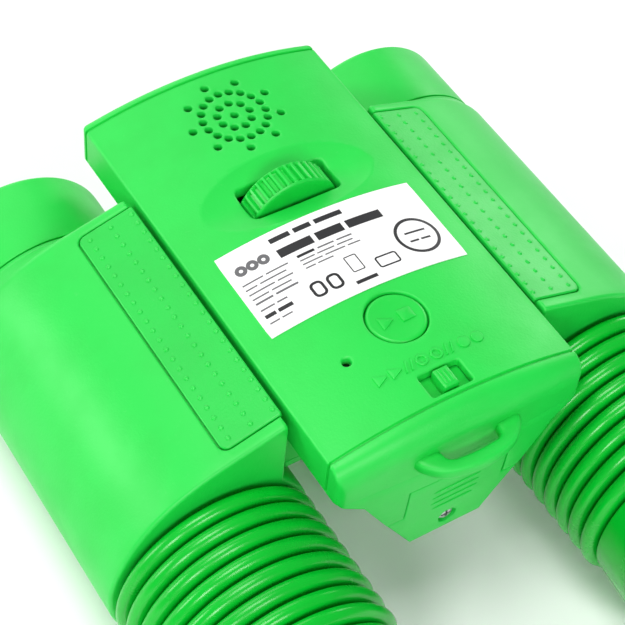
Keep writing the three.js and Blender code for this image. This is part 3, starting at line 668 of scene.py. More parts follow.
@dataclass(frozen=True)
class PrintedPaper:
    """Satin paper: fibre mottle, faint tooth.

    Args:
        name: material name.
        colour: main linear colour.
        rough: lowest roughness.
    """

    name: str
    colour: tuple[float, float, float]
    rough: float = 0.42

    def make(self) -> bpy.types.Material:
        """Builds the material from two noises.

        Returns:
            The material.
        """
        graph = Graph(self.name)
        fibre = graph.noise(0.25, 3.0, 0.7)
        cloud = graph.noise(6.0, 2.0, 0.5)
        pale = rgba(*self.colour)
        shade = rgba(*(0.93 * c for c in self.colour))
        tint = graph.blend(cloud * 0.5 + fibre * 0.3 - 0.1, pale, shade)
        return graph.finish({"IOR": 1.48}, {
            "Base Color": tint, "Roughness": fibre * 0.12 + self.rough, "Normal": graph.bump(fibre, 0.002)})


@dataclass(frozen=True)
class Metal:
    """Worn plated metal: fine scratches along one way, duller patches.

    Args:
        name: material name.
        colour: main linear colour.
        rough: lowest roughness.
        metallic: weight of the metal.
    """

    name: str
    colour: tuple[float, float, float]
    rough: float = 0.25
    metallic: float = 1.0

    def make(self) -> bpy.types.Material:
        """Builds the material from scratch and patch noises.

        Returns:
            The material.
        """
        graph = Graph(self.name)
        scratch = graph.noise(0.5, 3.0, 0.6, (1.0, 9.0, 1.0))
        patch = graph.noise(3.0, 3.0, 0.6).above(0.4, 0.7)
        tint = graph.blend(patch * 0.5, rgba(*self.colour), rgba(*(0.72 * c for c in self.colour)))
        return graph.finish({"Metallic": self.metallic}, {
            "Base Color": tint, "Roughness": scratch * 0.18 + patch * 0.1 + self.rough,
            "Normal": graph.bump(scratch, 0.004)})


@dataclass(frozen=True)
class LensGlass:
    """Coated glass: clear, with a faint bluish film and dust.

    Args:
        name: material name.
    """

    name: str

    def make(self) -> bpy.types.Material:
        """Builds the glass with dust in its roughness.

        Returns:
            The material.
        """
        graph = Graph(self.name)
        dust = graph.noise(1.2, 4.0, 0.7).above(0.6, 0.78)
        film = graph.noise(20.0, 1.0, 0.5)
        tint = graph.blend(film, rgba(0.86, 0.94, 0.97), rgba(0.93, 0.9, 0.98))
        return graph.finish({"IOR": 1.52, "Transmission Weight": 0.95, "Coat Weight": 0.4, "Coat Roughness": 0.02,
                             "Coat Tint": rgba(0.8, 0.85, 1.0)}, {
            "Base Color": tint, "Roughness": dust * 0.08 + 0.015})


FINISHES: dict[Slot, Any] = {
    Slot.SHELL: MouldedPlastic("shell_plastic", (0.008, 0.6, 0.058), (0.005, 0.54, 0.046), 0.45, 0.6, 0.03),
    Slot.CONTROL: MouldedPlastic("control_plastic", (0.006, 0.58, 0.052), (0.004, 0.52, 0.04), 0.38, 0.4, 0.005,
                                 glow=0.03),
    Slot.CUP: MouldedPlastic("cup_vinyl", (0.001, 0.46, 0.026), (0.001, 0.4, 0.021), 0.25, 0.8, 0.0006,
                             glow=0.0, scuffs=0.0, gloss=0.42),
    Slot.LABEL: PrintedPaper("label_paper", (0.9, 0.9, 0.89)),
    Slot.GLASS: LensGlass("lens_glass"),
    Slot.BLACK: MouldedPlastic("black_plastic", (0.012, 0.012, 0.013), (0.008, 0.008, 0.009), 0.5, glow=0.0),
    Slot.STEEL: Metal("plated_steel", (0.62, 0.62, 0.64)),
    Slot.BOARD: MouldedPlastic("board_mask", (0.01, 0.12, 0.035), (0.007, 0.09, 0.025), 0.35, glow=0.0),
    Slot.CONE: PrintedPaper("cone_paper", (0.03, 0.03, 0.032), 0.7),
    Slot.CELL: Metal("cell_wrap", (0.1, 0.12, 0.15), 0.3, 0.3),
}


class Workshop:
    """Makes pieces: meshes them, dresses them and ties them to the frame."""

    def __init__(self, datum: Datum) -> None:
        """Prepares one material for each slot.

        Args:
            datum: placement of the drawing in the frame.
        """
        self.datum = datum
        self.materials = {slot: finish.make() for slot, finish in FINISHES.items()}
        self.ink = PrintedPaper("label_ink", (0.016, 0.016, 0.018), 0.35).make()
        self.grey_ink = PrintedPaper("label_grey_ink", (0.12, 0.12, 0.125), 0.4).make()
        panel = MouldedPlastic("panel_plastic", (0.006, 0.55, 0.052), (0.004, 0.49, 0.042), 0.42, 0.6, 0.045, glow=0.04)
        self.panel_material = panel.make()

    def dress(self, thing: bpy.types.Object, slot: Slot, material: Optional[bpy.types.Material] = None) -> None:
        """Gives an object its one material."""
        thing.data.materials.clear()
        thing.data.materials.append(material or self.materials[slot])

    def piece(self, name: str, shape: Shape, slot: Slot, body: str, nodes: Iterable[str] = (), crisp: float = 35.0,
              tool: Optional[Shape] = None, material: Optional[bpy.types.Material] = None) -> bpy.types.Object:
        """Turns a shape into a finished piece.

        Args:
            name: piece name.
            shape: its surfaces.
            slot: material slot.
            body: body it rides on.
            nodes: CAD nodes it stands for.
            crisp: edges sharper than this many degrees stay crisp.
            tool: surfaces cut out of it.
            material: finish other than the slot's own.

        Returns:
            The piece.
        """
        thing = shape.mesh_object(name, self.datum)
        if tool is not None:
            carve(thing, tool.mesh_object(f"{name}_tool", self.datum))
        soften(thing, crisp)
        self.dress(thing, slot, material)
        self.tie(thing, slot, body, nodes)
        return thing

    @staticmethod
    def tie(thing: bpy.types.Object, slot: Slot, body: str, nodes: Iterable[str]) -> None:
        """Rides a piece on its body and hides the CAD nodes it stands for.

        Args:
            thing: the piece.
            slot: its material slot.
            body: body it rides on.
            nodes: CAD nodes it stands for.
        """
        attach(thing, body)
        names = list(nodes)
        if names:
            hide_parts(*names)
        LOG.info("%s: %d faces on %s", thing.name, len(thing.data.polygons), body)

    def bevelled_copy(self, name: str, node: str, slot: Slot, body: str, width_mm: float) -> bpy.types.Object:
        """Copies a CAD node, merges it and rounds its edges.

        Args:
            name: piece name.
            node: the CAD node.
            slot: material slot.
            body: body it rides on.
            width_mm: bevel width.

        Returns:
            The piece.
        """
        mesh = frame["nodes"][node].data.copy()
        mesh.name = name
        work = bmesh.new()
        work.from_mesh(mesh)
        bmesh.ops.remove_doubles(work, verts=work.verts, dist=2e-6)
        bmesh.ops.dissolve_limit(work, angle_limit=math.radians(1.0), verts=work.verts, edges=work.edges)
        work.to_mesh(mesh)
        work.free()
        thing = placed(name, mesh)
        bevel = thing.modifiers.new("edge", "BEVEL")
        bevel.width, bevel.segments, bevel.limit_method = width_mm * MM, 3, "ANGLE"
        bevel.angle_limit = math.radians(28)
        bevel.use_clamp_overlap = True
        bake(thing)
        soften(thing, 40)
        self.dress(thing, slot)
        self.tie(thing, slot, body, [node])
        return thing


# ---------------------------------------------------------------------------------------------
# Shared shape makers
# ---------------------------------------------------------------------------------------------
def prism(outline: Array, levels: Sequence[tuple[float, float]]) -> Array:
    """Stack of one plan outline, shrunk towards its middle and lifted.

    Args:
        outline: (n, 2) plan points.
        levels: (shrink in millimetres, z) of each ring.

    Returns:
        (k, n, 3) rings: each point moves `shrink` towards the middle.
    """
    middle = outline.mean(0)
    reach = outline - middle
    length = np.linalg.norm(reach, axis=1, keepdims=True)
    rings = []
    for shrink, z in levels:
        plan = middle + reach * np.clip(1 - shrink / length, 0.02, None)
        rings.append(np.column_stack([plan, np.full(len(plan), z)]))
    return np.stack(rings)


def stack(outline: Outline, levels: Sequence[tuple[float, float]]) -> Array:
    """Rings of an outline at (inset, z) levels."""
    return np.stack([np.column_stack([outline.at(inset), np.full(len(outline.reach), z)]) for inset, z in levels])


def fillet(inset: float, z: float, radius: float, steps: int = 4, rise: int = 1) -> list[tuple[float, float]]:
    """Levels of a quarter round: inset + radius (1 - cos p), z - rise * radius (1 - sin p), rise 1 up or -1 down."""
    p = np.linspace(0, np.pi / 2, steps)
    return [(inset + radius * (1 - math.cos(a)), z - rise * radius * (1 - math.sin(a))) for a in p]


def draped(points: Array) -> Array:
    """Lifts points by the arch of the cover at their x."""
    return points + np.stack([np.zeros(len(points)), np.zeros(len(points)), arch_height(points[:, 0])], 1)


def near_bulge(x: Array, z: Array) -> Array:
    """How far the near end wall swells: 1.3 (1 - (x/30)^2), fading above z = 0 and towards z = -38.

    Args:
        x: distances from the middle plane.
        z: heights above the side edges.

    Returns:
        The swell in millimetres.
    """
    across = np.clip(1 - np.square(x / 30.0), 0.0, 1.0)
    down = smooth_step((z + 38.0) / 26.0) * smooth_step((7.0 - z) / 9.0)
    return 1.3 * across * down


def swell(points: Array) -> Array:
    """Pushes points near the end wall outwards by near_bulge, fading from y = -2.2 to y = 1.

    Args:
        points: drawn points.

    Returns:
        The moved points.
    """
    weight = smooth_step((1.0 - points[:, 1]) / 3.2)
    moved = points.copy()
    moved[:, 1] -= near_bulge(points[:, 0], points[:, 2]) * weight
    return moved


def resampled(points: Array, count: int) -> Array:
    """Open polyline resampled to equal steps of length.

    Args:
        points: (n, k) points.
        count: number of new points.

    Returns:
        (count, k) points.
    """
    length = np.concatenate([[0], np.cumsum(np.linalg.norm(np.diff(points, axis=0), axis=1))])
    t = np.linspace(0, length[-1], count)
    return np.stack([np.interp(t, length, points[:, i]) for i in range(points.shape[1])], 1)


# ---------------------------------------------------------------------------------------------
# Centre cover
# ---------------------------------------------------------------------------------------------
@dataclass
class Cover:
    """The arched centre cover with its dish, openings, grille and strap loop.

    Args:
        shop: maker of the pieces.
        nose: length and drop of the rounded near end.
        tail: radius of the far edge.
        near_corner: plan radius of the near corners.
        far_corner: plan radius of the far corners.
        edge_round: radius along the side edges.
        groove_depth: depth of the end grooves.
        skirt_more: how far the skirt laps the housing.
        grooves: Y of the end grooves.
        dish_centre: Y of the oval dish.
        dish_half: half sizes of the dish.
        dish_depth: depth of the dish.
        window_half: half sizes of the wheel window.
        window_y: Y of the window.
        button_y: Y of the button.
        button_bore: radius of the button hole.
        slot_y: Y of the switch slot.
        slot_half: half sizes of the slot.
        mic: X, Y and radius of the microphone hole.
        grille_y: Y of the grille.
        grille_hole: radius of one hole.
        grille_rings: radius, number of holes and first angle of each ring.
    """

    shop: Workshop
    nose: tuple[float, float] = (4.0, 6.0)
    tail: float = 1.6
    near_corner: float = 1.9
    far_corner: float = 1.8
    edge_round: float = 0.8
    groove_depth: float = 0.5
    skirt_more: float = 0.25
    grooves: tuple[float, float] = (0.35, 103.55)
    dish_centre: float = 65.7
    dish_half: tuple[float, float] = (21.3, 9.9)
    dish_depth: float = 2.6
    window_half: tuple[float, float] = (11.2, 4.75)
    window_y: float = 65.75
    button_y: float = 22.7
    button_bore: float = 6.83
    slot_y: float = 4.7
    slot_half: tuple[float, float] = (5.0, 3.0)
    mic: tuple[float, float, float] = (-14.9, 18.2, 1.0)
    grille_y: float = 89.2
    grille_hole: float = 0.95
    grille_rings: tuple[tuple[float, int, float], ...] = ((3.92, 9, 0.0), (7.46, 18, 10.0), (10.61, 9, 20.0))

    def rows(self) -> Array:
        """Y of every section: close together on the end rounds and the two grooves.

        Returns:
            Y positions, near to far.
        """
        sizes = CoverSizes
        nose = sizes.near_y + self.nose[0] * (1 - np.cos(np.linspace(0, np.pi / 2, 14)))
        tail = sizes.far_y - self.tail * (1 - np.cos(np.linspace(0, np.pi / 2, 9)))
        cuts = [g + np.array([-0.6, -0.42, -0.36, -0.3, -0.24, 0.0, 0.24, 0.3, 0.36, 0.42, 0.6]) for g in self.grooves]
        body = np.linspace(1.3, 102.6, 84)
        return np.unique(np.round(np.concatenate([nose[nose < -0.3], *cuts, body, tail]), 5))

    def section(self, y: float) -> Array:
        """Closed outline in X and Z at one y.

        The half width follows the plan corners, the top is the arch lowered by the end rounds, and
        both are drawn in by the end grooves.

        Args:
            y: where the section is taken.

        Returns:
            (n, 2) points.
        """
        sizes = CoverSizes
        near, far = y - sizes.near_y, sizes.far_y - y
        half, drop = sizes.half_x, 0.0
        for gap, corner in ((near, self.near_corner), (far, self.far_corner)):
            if gap < corner:
                half = sizes.half_x - corner + math.sqrt(max(corner ** 2 - (corner - gap) ** 2, 0.0))
        if near < self.nose[0]:
            drop = self.nose[1] * (1 - math.sqrt(max(1 - (1 - near / self.nose[0]) ** 2, 0.0)))
        if far < self.tail:
            drop = self.tail * (1 - math.sqrt(max(1 - (1 - far / self.tail) ** 2, 0.0)))
        groove = sum(self.groove_depth * float(smooth_step(np.array((0.4 - abs(y - g)) / 0.16))) for g in self.grooves)
        half -= groove
        radius = self.edge_round
        top_x = np.linspace(-(half - radius), half - radius, 66)
        top_z = arch_height(top_x) - drop - groove
        corner_z = float(top_z[-1])
        a = np.linspace(np.pi / 2, 0, 7)[1:]
        right = np.stack([half - radius + radius * np.cos(a), corner_z - radius + radius * np.sin(a)], 1)
        bottom = -sizes.skirt - self.skirt_more
        wall_z = np.linspace(corner_z - radius, bottom, 8)[1:]
        wall = np.stack([np.full(7, half), wall_z], 1)
        floor_x = np.linspace(half, -half, 26)[1:-1]
        floor = np.stack([floor_x, np.full(24, bottom)], 1)
        mirror = np.array([-1.0, 1.0])
        top = np.stack([top_x, top_z], 1)
        return np.concatenate([top, right, wall, floor, (wall * mirror)[::-1], (right * mirror)[::-1]])

    def body(self) -> Shape:
        """The solid cover: sections along Y, closed at both ends by shrinking rings.

        Returns:
            The uncut cover.
        """
        rows = self.rows()
        rings = [np.insert(self.section(float(y)), 1, y, axis=1) for y in rows]
        middle = rings[0].mean(0)
        near = [middle + (rings[0] - middle) * s for s in np.linspace(0.04, 0.96, 14)]
        middle = rings[-1].mean(0)
        far = [middle + (rings[-1] - middle) * s for s in (0.96, 0.5, 0.04)]
        return Shape().add(np.stack(near + rings + far)).mapped(swell)

    def pocket(self) -> Shape:
        """The hollow below: a wall inside the sections, with a ceiling that dips under the dish.

        Returns:
            The cutter.
        """
        sizes = CoverSizes
        half = sizes.half_x - sizes.wall
        x = np.linspace(-half, half, 56)
        y = np.linspace(sizes.near_y + sizes.wall, sizes.far_y - sizes.wall, 90)
        grid_x, grid_y = np.meshgrid(x, y)
        rho = np.hypot(grid_x / 24.5, (grid_y - self.dish_centre) / 12.0)
        ceiling = arch_height(grid_x) - sizes.wall - 2.3 * smooth_step((1.25 - rho) / 0.3)
        low = np.full_like(grid_x, -sizes.skirt - 2)
        upper = np.stack([grid_x, grid_y, ceiling], 2)
        lower = np.stack([grid_x, grid_y, low], 2)[:, ::-1]
        return Shape().add(np.concatenate([upper, lower], axis=1))

    def dish(self) -> Shape:
        """Cutter of the dish: lower face at arch - depth (1 - rho^2), rho the elliptic radius, flat lid.

        Returns:
            The cutter.
        """
        rho = np.concatenate([np.linspace(0.03, 0.94, 18), [0.97, 1.0, 1.03, 1.08]])
        angle = np.linspace(0, 2 * np.pi, 112, endpoint=False)
        x = self.dish_half[0] * rho[:, None] * np.cos(angle)
        y = self.dish_centre + self.dish_half[1] * rho[:, None] * np.sin(angle)
        z = arch_height(x) - self.dish_depth * (1 - rho[:, None] ** 2)
        lid = np.stack([x[-1], y[-1], np.full_like(x[-1], 9.0)], 1)
        return Shape().add(np.concatenate([np.stack([x, y, z], 2), lid[None]]))

    def openings(self) -> Shape:
        """Cutters of the wheel window, button bore, switch slot, microphone and grille, lips eased.

        Returns:
            The cutters, as one shape.
        """
        tools = Shape()
        ease = [(0.0, -6.0), (0.0, -0.45), (-0.08, -0.22), (-0.24, -0.06), (-0.5, 0.05), (-0.9, 0.3)]
        window = rounded_rectangle(self.window_half, [1.5] * 4, (10, 6), 7, (0.0, self.window_y))
        tools.add(self._cut(window, ease, self.dish_depth))
        tools.add(self._cut(circle_outline(self.button_bore, 96, (0.0, self.button_y)), ease))
        slot = rounded_rectangle(self.slot_half, [0.7] * 4, (8, 5), 5, (0.0, self.slot_y))
        tools.add(self._cut(slot, ease))
        tools.add(self._cut(circle_outline(self.mic[2], 28, self.mic[:2]), ease))
        small = [(0.0, -5.0), (0.0, -0.3), (-0.05, -0.14), (-0.16, -0.03), (-0.4, 0.1)]
        spots = [(0.0, self.grille_y)]
        for radius, count, start in self.grille_rings:
            a = np.radians(start + np.arange(count) * 360 / count)
            spots += list(zip(radius * np.cos(a), self.grille_y + radius * np.sin(a)))
        for spot in spots:
            tools.add(self._cut(circle_outline(self.grille_hole, 22, spot), small))
        return tools

    def _cut(self, outline: Outline, levels: Sequence[tuple[float, float]], sunk: float = 0.0) -> Array:
        """Rings of one cutter whose heights count from the arch, or from the dish if `sunk` is its depth.

        Args:
            outline: plan of the opening.
            levels: (inset, height) of each ring.
            sunk: depth of the dish it lies in.

        Returns:
            (k, n, 3) rings.
        """
        rings = stack(outline, levels)
        x, y = rings[..., 0], rings[..., 1]
        base = arch_height(x)
        if sunk:
            rho = np.hypot(x / self.dish_half[0], (y - self.dish_centre) / self.dish_half[1])
            base = base - sunk * (1 - rho ** 2)
        rings[..., 2] += base
        return rings

    def loop(self) -> Shape:
        """Strap loop: a flat rounded bar between an outer and an inner outline, rooted in the wall.

        A point is (inner + outer)/2 + c (outer - inner)/2 in plan and -5.2 + 1.6 s in height, with
        (c, s) a rounded square.

        Returns:
            The loop.
        """
        outer = [(13.9, -2.6, 0), (13.0, -4.6, 1.0), (12.4, -7.0, 2.0), (8.6, -10.7, 3.0), (0.0, -12.3, 6.0),
                 (-8.6, -10.7, 3.0), (-12.4, -7.0, 2.0), (-13.0, -4.6, 1.0), (-13.9, -2.6, 0)]
        inner = [(8.2, -2.6, 0), (6.9, -4.9, 1.0), (6.4, -8.2, 1.8), (0.0, -8.7, 3.0),
                 (-6.4, -8.2, 1.8), (-6.9, -4.9, 1.0), (-8.2, -2.6, 0)]
        out = resampled(rounded_profile(outer, 7, closed=False), 72)
        inn = resampled(rounded_profile(inner, 7, closed=False), 72)
        a = np.linspace(0, 2 * np.pi, 28, endpoint=False)
        c = np.sign(np.cos(a)) * np.abs(np.cos(a)) ** 0.55
        s = np.sign(np.sin(a)) * np.abs(np.sin(a)) ** 0.55
        plan = (out + inn)[:, None] / 2 + c[None, :, None] * (out - inn)[:, None] / 2
        z = np.broadcast_to(-5.4 + 1.65 * s, plan.shape[:2])
        return Shape().add(np.concatenate([plan, z[..., None]], 2))

    def legend(self) -> Shape:
        """Raised generic marks between the button and the switch: triangle, ring and dot, parted by bars.

        Returns:
            The marks.
        """
        marks = Shape()
        levels = [(0.0, -0.25), (0.0, 0.2), (0.06, 0.3), (0.14, 0.33)]
        bar = np.array([(-0.75, -1.35), (-0.3, -1.35), (0.75, 1.35), (0.3, 1.35)])
        for x in (-5.6, -4.2, 4.2, 5.6):
            marks.add(prism(bar + (x, 10.7), levels))
        for x in (-12.9, -9.4):
            marks.add(prism(rounded_profile([(x, 9.3, 0.2), (x + 2.9, 10.7, 0.2), (x, 12.1, 0.2)], 4), levels))
        ring = np.array([(0.85, -0.25), (0.85, 0.22), (0.95, 0.33), (1.3, 0.33), (1.4, 0.22), (1.4, -0.25)])
        for x in (-1.8, 1.8):
            marks.add(spun_up(ring, 40, (x, 10.7)), wrap=True)
        for x in (8.6, 12.0):
            marks.add(spun_up(np.array([(1.35, -0.25), (1.35, 0.2), (1.22, 0.31), (0.7, 0.34)]), 32, (x, 10.7)))
        return marks.mapped(draped)

    def build(self) -> None:
        """Cuts the cover and sets the loop and the legend on it."""
        shape = self.body()
        thing = shape.mesh_object("cover_shell", self.shop.datum)
        for tool in (self.pocket(), self.dish(), self.openings()):
            carve(thing, tool.mesh_object("cover_tool", self.shop.datum))
        soften(thing, 30)
        self.shop.dress(thing, Slot.SHELL)
        self.shop.tie(thing, Slot.SHELL, "case_body", ["top_cover"])
        self.shop.piece("strap_loop", self.loop(), Slot.SHELL, "case_body", crisp=50)
        self.shop.piece("legend_marks", self.legend(), Slot.SHELL, "case_body", crisp=30)


# ---------------------------------------------------------------------------------------------
# Lower housing and battery door
# ---------------------------------------------------------------------------------------------
@dataclass
class Base:
    """Lower housing, battery door, bridge plate and screws under the pair.

    Args:
        shop: maker of the pieces.
        line_heights: Z of the four ridges on the door.
    """

    shop: Workshop
    line_heights: tuple[float, ...] = (-20.3, -22.6, -24.9, -27.2)

    def eased(self, name: str, node: str, body: str, width: float) -> None:
        """Copies a CAD node with rounded edges and gives its near wall the common swell.

        Args:
            name: piece name.
            node: the CAD node.
            body: body it rides on.
            width: bevel width in millimetres.
        """
        thing = self.shop.bevelled_copy(name, node, Slot.SHELL, body, width)
        work = bmesh.new()
        work.from_mesh(thing.data)
        datum = self.shop.datum
        ends = [s * v for s in (-1, 1) for v in (26.6, 27.4, 28.2, 28.8, 29.3, 29.7)]
        for axis, cuts in ((0, list(np.arange(-24, 25, 3.0)) + ends), (2, np.arange(-36, -9, 3.0)),
                           (1, (-3.8, -3.2, -2.4, -1.6, 104.4, 104.9, 105.3, 105.7))):
            normal = Vector([float(axis == k) for k in range(3)])
            for cut in cuts:
                spot = datum.place(np.full(3, float(cut)))
                high, low = datum.groove_y - 1.5 * MM, datum.groove_y + 104 * MM
                near = [f for f in work.faces if axis == 1 or max(v.co.y for v in f.verts) < high
                        or min(v.co.y for v in f.verts) > low]
                parts = near + list({e for f in near for e in f.edges}) + list({v for f in near for v in f.verts})
                bmesh.ops.bisect_plane(work, geom=parts, plane_co=Vector(spot), plane_no=normal)
        work.to_mesh(thing.data)
        work.free()
        points = np.zeros(len(thing.data.vertices) * 3)
        thing.data.vertices.foreach_get("co", points)
        drawn = datum.drawn(points.reshape(-1, 3))
        for corner, y, sign in ((1.9, CoverSizes.near_y, 1), (1.8, CoverSizes.far_y, -1)):
            core_x, core_y = CoverSizes.half_x - corner, y + sign * corner
            off = np.stack([np.abs(drawn[:, 0]) - core_x, sign * (core_y - drawn[:, 1])], 1)
            length = np.linalg.norm(off, axis=1)
            out = (off > 0).all(1) & (length > corner)
            pulled = off * (corner / np.maximum(length, 1e-9))[:, None]
            drawn[out, 0] = (np.sign(drawn[:, 0]) * (core_x + pulled[:, 0]))[out]
            drawn[out, 1] = (core_y - sign * pulled[:, 1])[out]
        thing.data.vertices.foreach_set("co", datum.place(swell(drawn)).ravel())
        thing.data.update()
        soften(thing, 35)

    def grip_lines(self) -> Shape:
        """Four fine ridges on the door's tongue: half-round bars with tapered ends.

        Returns:
            The ridges.
        """
        lines = Shape()
        t = np.linspace(-1, 1, 25)
        a = np.linspace(0, 2 * np.pi, 12, endpoint=False)
        for z in self.line_heights:
            half = 6.0 if z > -27 else 5.2
            reach = 0.32 * (1 - t ** 8)[:, None] + 0.02
            x = np.broadcast_to((half * t)[:, None], (25, 12))
            y = CoverSizes.near_y - 0.02 + 0.75 * reach * np.cos(a) + 0 * x
            lines.add(np.stack([x, y, z + reach * np.sin(a)], 2))
        return lines.mapped(swell)

    def screw(self, name: str, node: str, body: str, head_radius: float) -> None:
        """Pan-head screw with a cross recess, set where the CAD screw is.

        The head is a dome profile turned about the screw's own line; the recess is two crossed tapered bars.

        Args:
            name: piece name.
            node: the CAD node it stands for.
            body: body it rides on.
            head_radius: radius of the head.
        """
        low, high = self.shop.datum.drawn_box(node)
        upright = high[2] - low[2] > high[1] - low[1]
        length = (high - low)[2 if upright else 1]
        shank = 1.0
        dome = [(head_radius * r, z) for r, z in ((0.5, 0.05), (0.8, 0.22), (0.96, 0.5), (1.0, 0.8), (1.0, 0.98))]
        profile = np.array([(0.15, 0.0), *dome, (shank, 1.0), (shank, length - 0.6), (0.3, length)])
        rings = spun_up(profile, 40)
        arm, half = head_radius * 0.64, 0.3
        cross = np.array([(arm, -half), (arm, half), (half, half), (half, arm), (-half, arm), (-half, half),
                          (-arm, half), (-arm, -half), (-half, -half), (-half, -arm), (half, -arm), (half, -half)])
        bars = Shape().add(prism(cross, [(0.0, -1.0), (0.0, 0.1), (0.14, 0.85)]))
        shape, middle = Shape().add(rings), (low + high) / 2

        def seat(points: Array) -> Array:
            """Turns the drawn screw (head down) onto its line.

            Args:
                points: drawn points.

            Returns:
                The points on the screw line.
            """
            if upright:
                return points + np.array([middle[0], middle[1], low[2]])
            return np.stack([points[:, 0], points[:, 2], points[:, 1]], 1) + np.array([middle[0], low[1], middle[2]])

        if not upright:
            shape, bars = shape.flipped(), bars.flipped()
        self.shop.piece(name, shape.mapped(seat), Slot.STEEL, body, [node], 30, tool=bars.mapped(seat))

    def build(self) -> None:
        """Eases the CAD mouldings and makes the ridges and screws."""
        self.eased("housing_shell", "lower_housing", "case_body", 0.12)
        self.eased("door_shell", "battery_door", "battery_door_body", 0.38)
        self.shop.bevelled_copy("bridge_plate", "bridge_cover", Slot.SHELL, "case_body", 0.3)
        self.shop.piece("door_ridges", self.grip_lines(), Slot.SHELL, "battery_door_body", crisp=60)
        self.screw("door_screw", "battery_screw", "battery_screw_body", 2.0)
        for row in ("near", "far"):
            for side in Side:
                self.screw(f"bridge_screw_{row}_{side.word}", f"case_screw_{row}_{side.word}", "case_body", 2.0)


# ---------------------------------------------------------------------------------------------
# Barrels
# ---------------------------------------------------------------------------------------------
@dataclass
class Barrel:
    """One barrel: shouldered shell, grip panel, hood, eyecup and lenses.

    Args:
        shop: maker of the pieces.
        side: left or right.
        inner_x: X of the upright inner wall.
        roof_z: height of the shoulder at that wall.
        roof_fall: outward fall of the shoulder.
        radius: of the round body.
        y_span: near face, end of the shoulder and end of the neck.
        bore: radius of the near opening.
        mouth: radius of the far opening.
        neck: radius of the neck.
        panel_x: where the panel middle lies across the shoulder.
        panel_half: half sizes of the grip panel.
        panel_y: Y of its middle.
        cup_rings: number of rings on the eyecup.
        cup_start: Y where the first ring begins.
        cup_pitch: from ring to ring.
        cup_valley: radius between the rings.
        cup_waist: radius where a ring begins to swell.
        cup_crest: largest radius of a ring.
    """

    shop: Workshop
    side: Side
    inner_x: float = 31.5
    roof_z: float = -0.7
    roof_fall: float = math.radians(17.5)
    radius: float = 24.0
    y_span: tuple[float, float, float] = (12.5, 82.4, 88.55)
    bore: float = 17.2
    mouth: float = 20.6
    neck: float = 23.75
    panel_x: float = 36.6
    panel_half: tuple[float, float] = (7.0, 31.85)
    panel_y: float = 47.65
    cup_rings: int = 8
    cup_start: float = 11.7
    cup_pitch: float = 4.46
    cup_valley: float = 19.4
    cup_waist: float = 21.6
    cup_crest: float = 23.95

    @property
    def axis(self) -> tuple[float, float]:
        """Barrel axis in X and Z."""
        return (self.shop.datum.barrel_x, self.shop.datum.barrel_z)

    def outline(self) -> tuple[Array, Array]:
        """D-shaped section in polar form about the barrel axis.

        The round body, a cubic blend tangent to it and to the sloped shoulder, and an upright inner
        wall with its corner rounded.

        Returns:
            Angles and reaches of the outline points.
        """
        x0, z0 = self.axis
        fall, meet = math.tan(self.roof_fall), math.radians(18)
        centre = np.array([x0, z0])
        start = np.array([45.6, self.roof_z - (45.6 - self.inner_x) * fall])
        end = centre + self.radius * np.array([math.cos(meet), math.sin(meet)])
        out = start + 13.5 * np.array([math.cos(self.roof_fall), -math.sin(self.roof_fall)])
        back = end - 13.0 * np.array([math.sin(meet), -math.cos(meet)])
        t = np.linspace(0, 1, 34)[:, None]
        blend = (1 - t) ** 3 * start + 3 * t * (1 - t) ** 2 * out + 3 * t ** 2 * (1 - t) * back + t ** 3 * end
        touch = math.pi - math.asin(math.sqrt(self.radius ** 2 - (x0 - self.inner_x) ** 2) / self.radius)
        arc = np.linspace(meet, touch - 2 * math.pi, 72)[1:]
        body = centre + self.radius * np.stack([np.cos(arc), np.sin(arc)], 1)
        wall = np.linspace(body[-1], [self.inner_x, self.roof_z - 1.3], 22)[1:]
        a = np.linspace(0, np.pi / 2, 6)[1:-1, None]
        shoulder = np.array([self.inner_x + 1.0, self.roof_z - fall])
        lip = wall[-1] * (1 - np.sin(a)) + shoulder * (1 - np.cos(a)) + np.array([self.inner_x, self.roof_z]) * (
            np.sin(a) + np.cos(a) - 1)
        roof = np.linspace(shoulder, start, 20)[:-1]
        points = np.concatenate([blend, body, wall, lip, roof]) - np.array([x0, z0])
        return np.arctan2(points[:, 1], points[:, 0]), np.linalg.norm(points, axis=1)

    def ring(self, angle: Array, reach: Array, y: float) -> Array:
        """Points at a reach about the barrel axis at one y."""
        x0, z0 = self.axis
        return np.stack([x0 + reach * np.cos(angle), np.full_like(reach, y), z0 + reach * np.sin(angle)], 1)

    def shell(self) -> Shape:
        """Closed wall: the outline carried along Y, eased at the near face and drawn in to the round neck.

        Returns:
            The shell, before its recess is cut.
        """
        angle, reach = self.outline()
        y0, y1, y2 = self.y_span
        flat = np.full_like(reach, 1.0)
        rings = [self.ring(angle, flat * self.bore, y0)]
        rings += [self.ring(angle, reach * 0.5 + flat * self.bore * 0.5 - 0.5, y0), self.ring(angle, reach - 1.1, y0)]
        for p in np.linspace(0, np.pi / 2, 6):
            rings.append(self.ring(angle, reach - 0.9 * (1 - math.sin(p)), y0 + 0.9 * (1 - math.cos(p))))
        rings += [self.ring(angle, reach, y) for y in np.linspace(y0 + 3, y1 - 2.5, 24)]
        slope = rounded_profile([(0, y1 - 1.6, 0), (0, y1 - 0.2, 1.0), (1, y2 - 1.1, 0.7), (1, y2 - 0.35, 0)], 6,
                                closed=False)
        rings += [self.ring(angle, reach + (self.neck - reach) * pull, y) for pull, y in slope]
        rings += [self.ring(angle, flat * (self.neck - back), y) for back, y in ((0.1, y2 - 0.15), (0.35, y2))]
        rings += [self.ring(angle, flat * self.mouth, y2), self.ring(angle, flat * self.mouth, y1 - 2.5)]
        rings += [self.ring(angle, reach - 2.2, y1 - 2.5), self.ring(angle, reach - 2.2, y0 + 2)]
        rings += [self.ring(angle, flat * self.bore, y0 + 2)]
        return Shape().add(np.stack(rings), wrap=True)

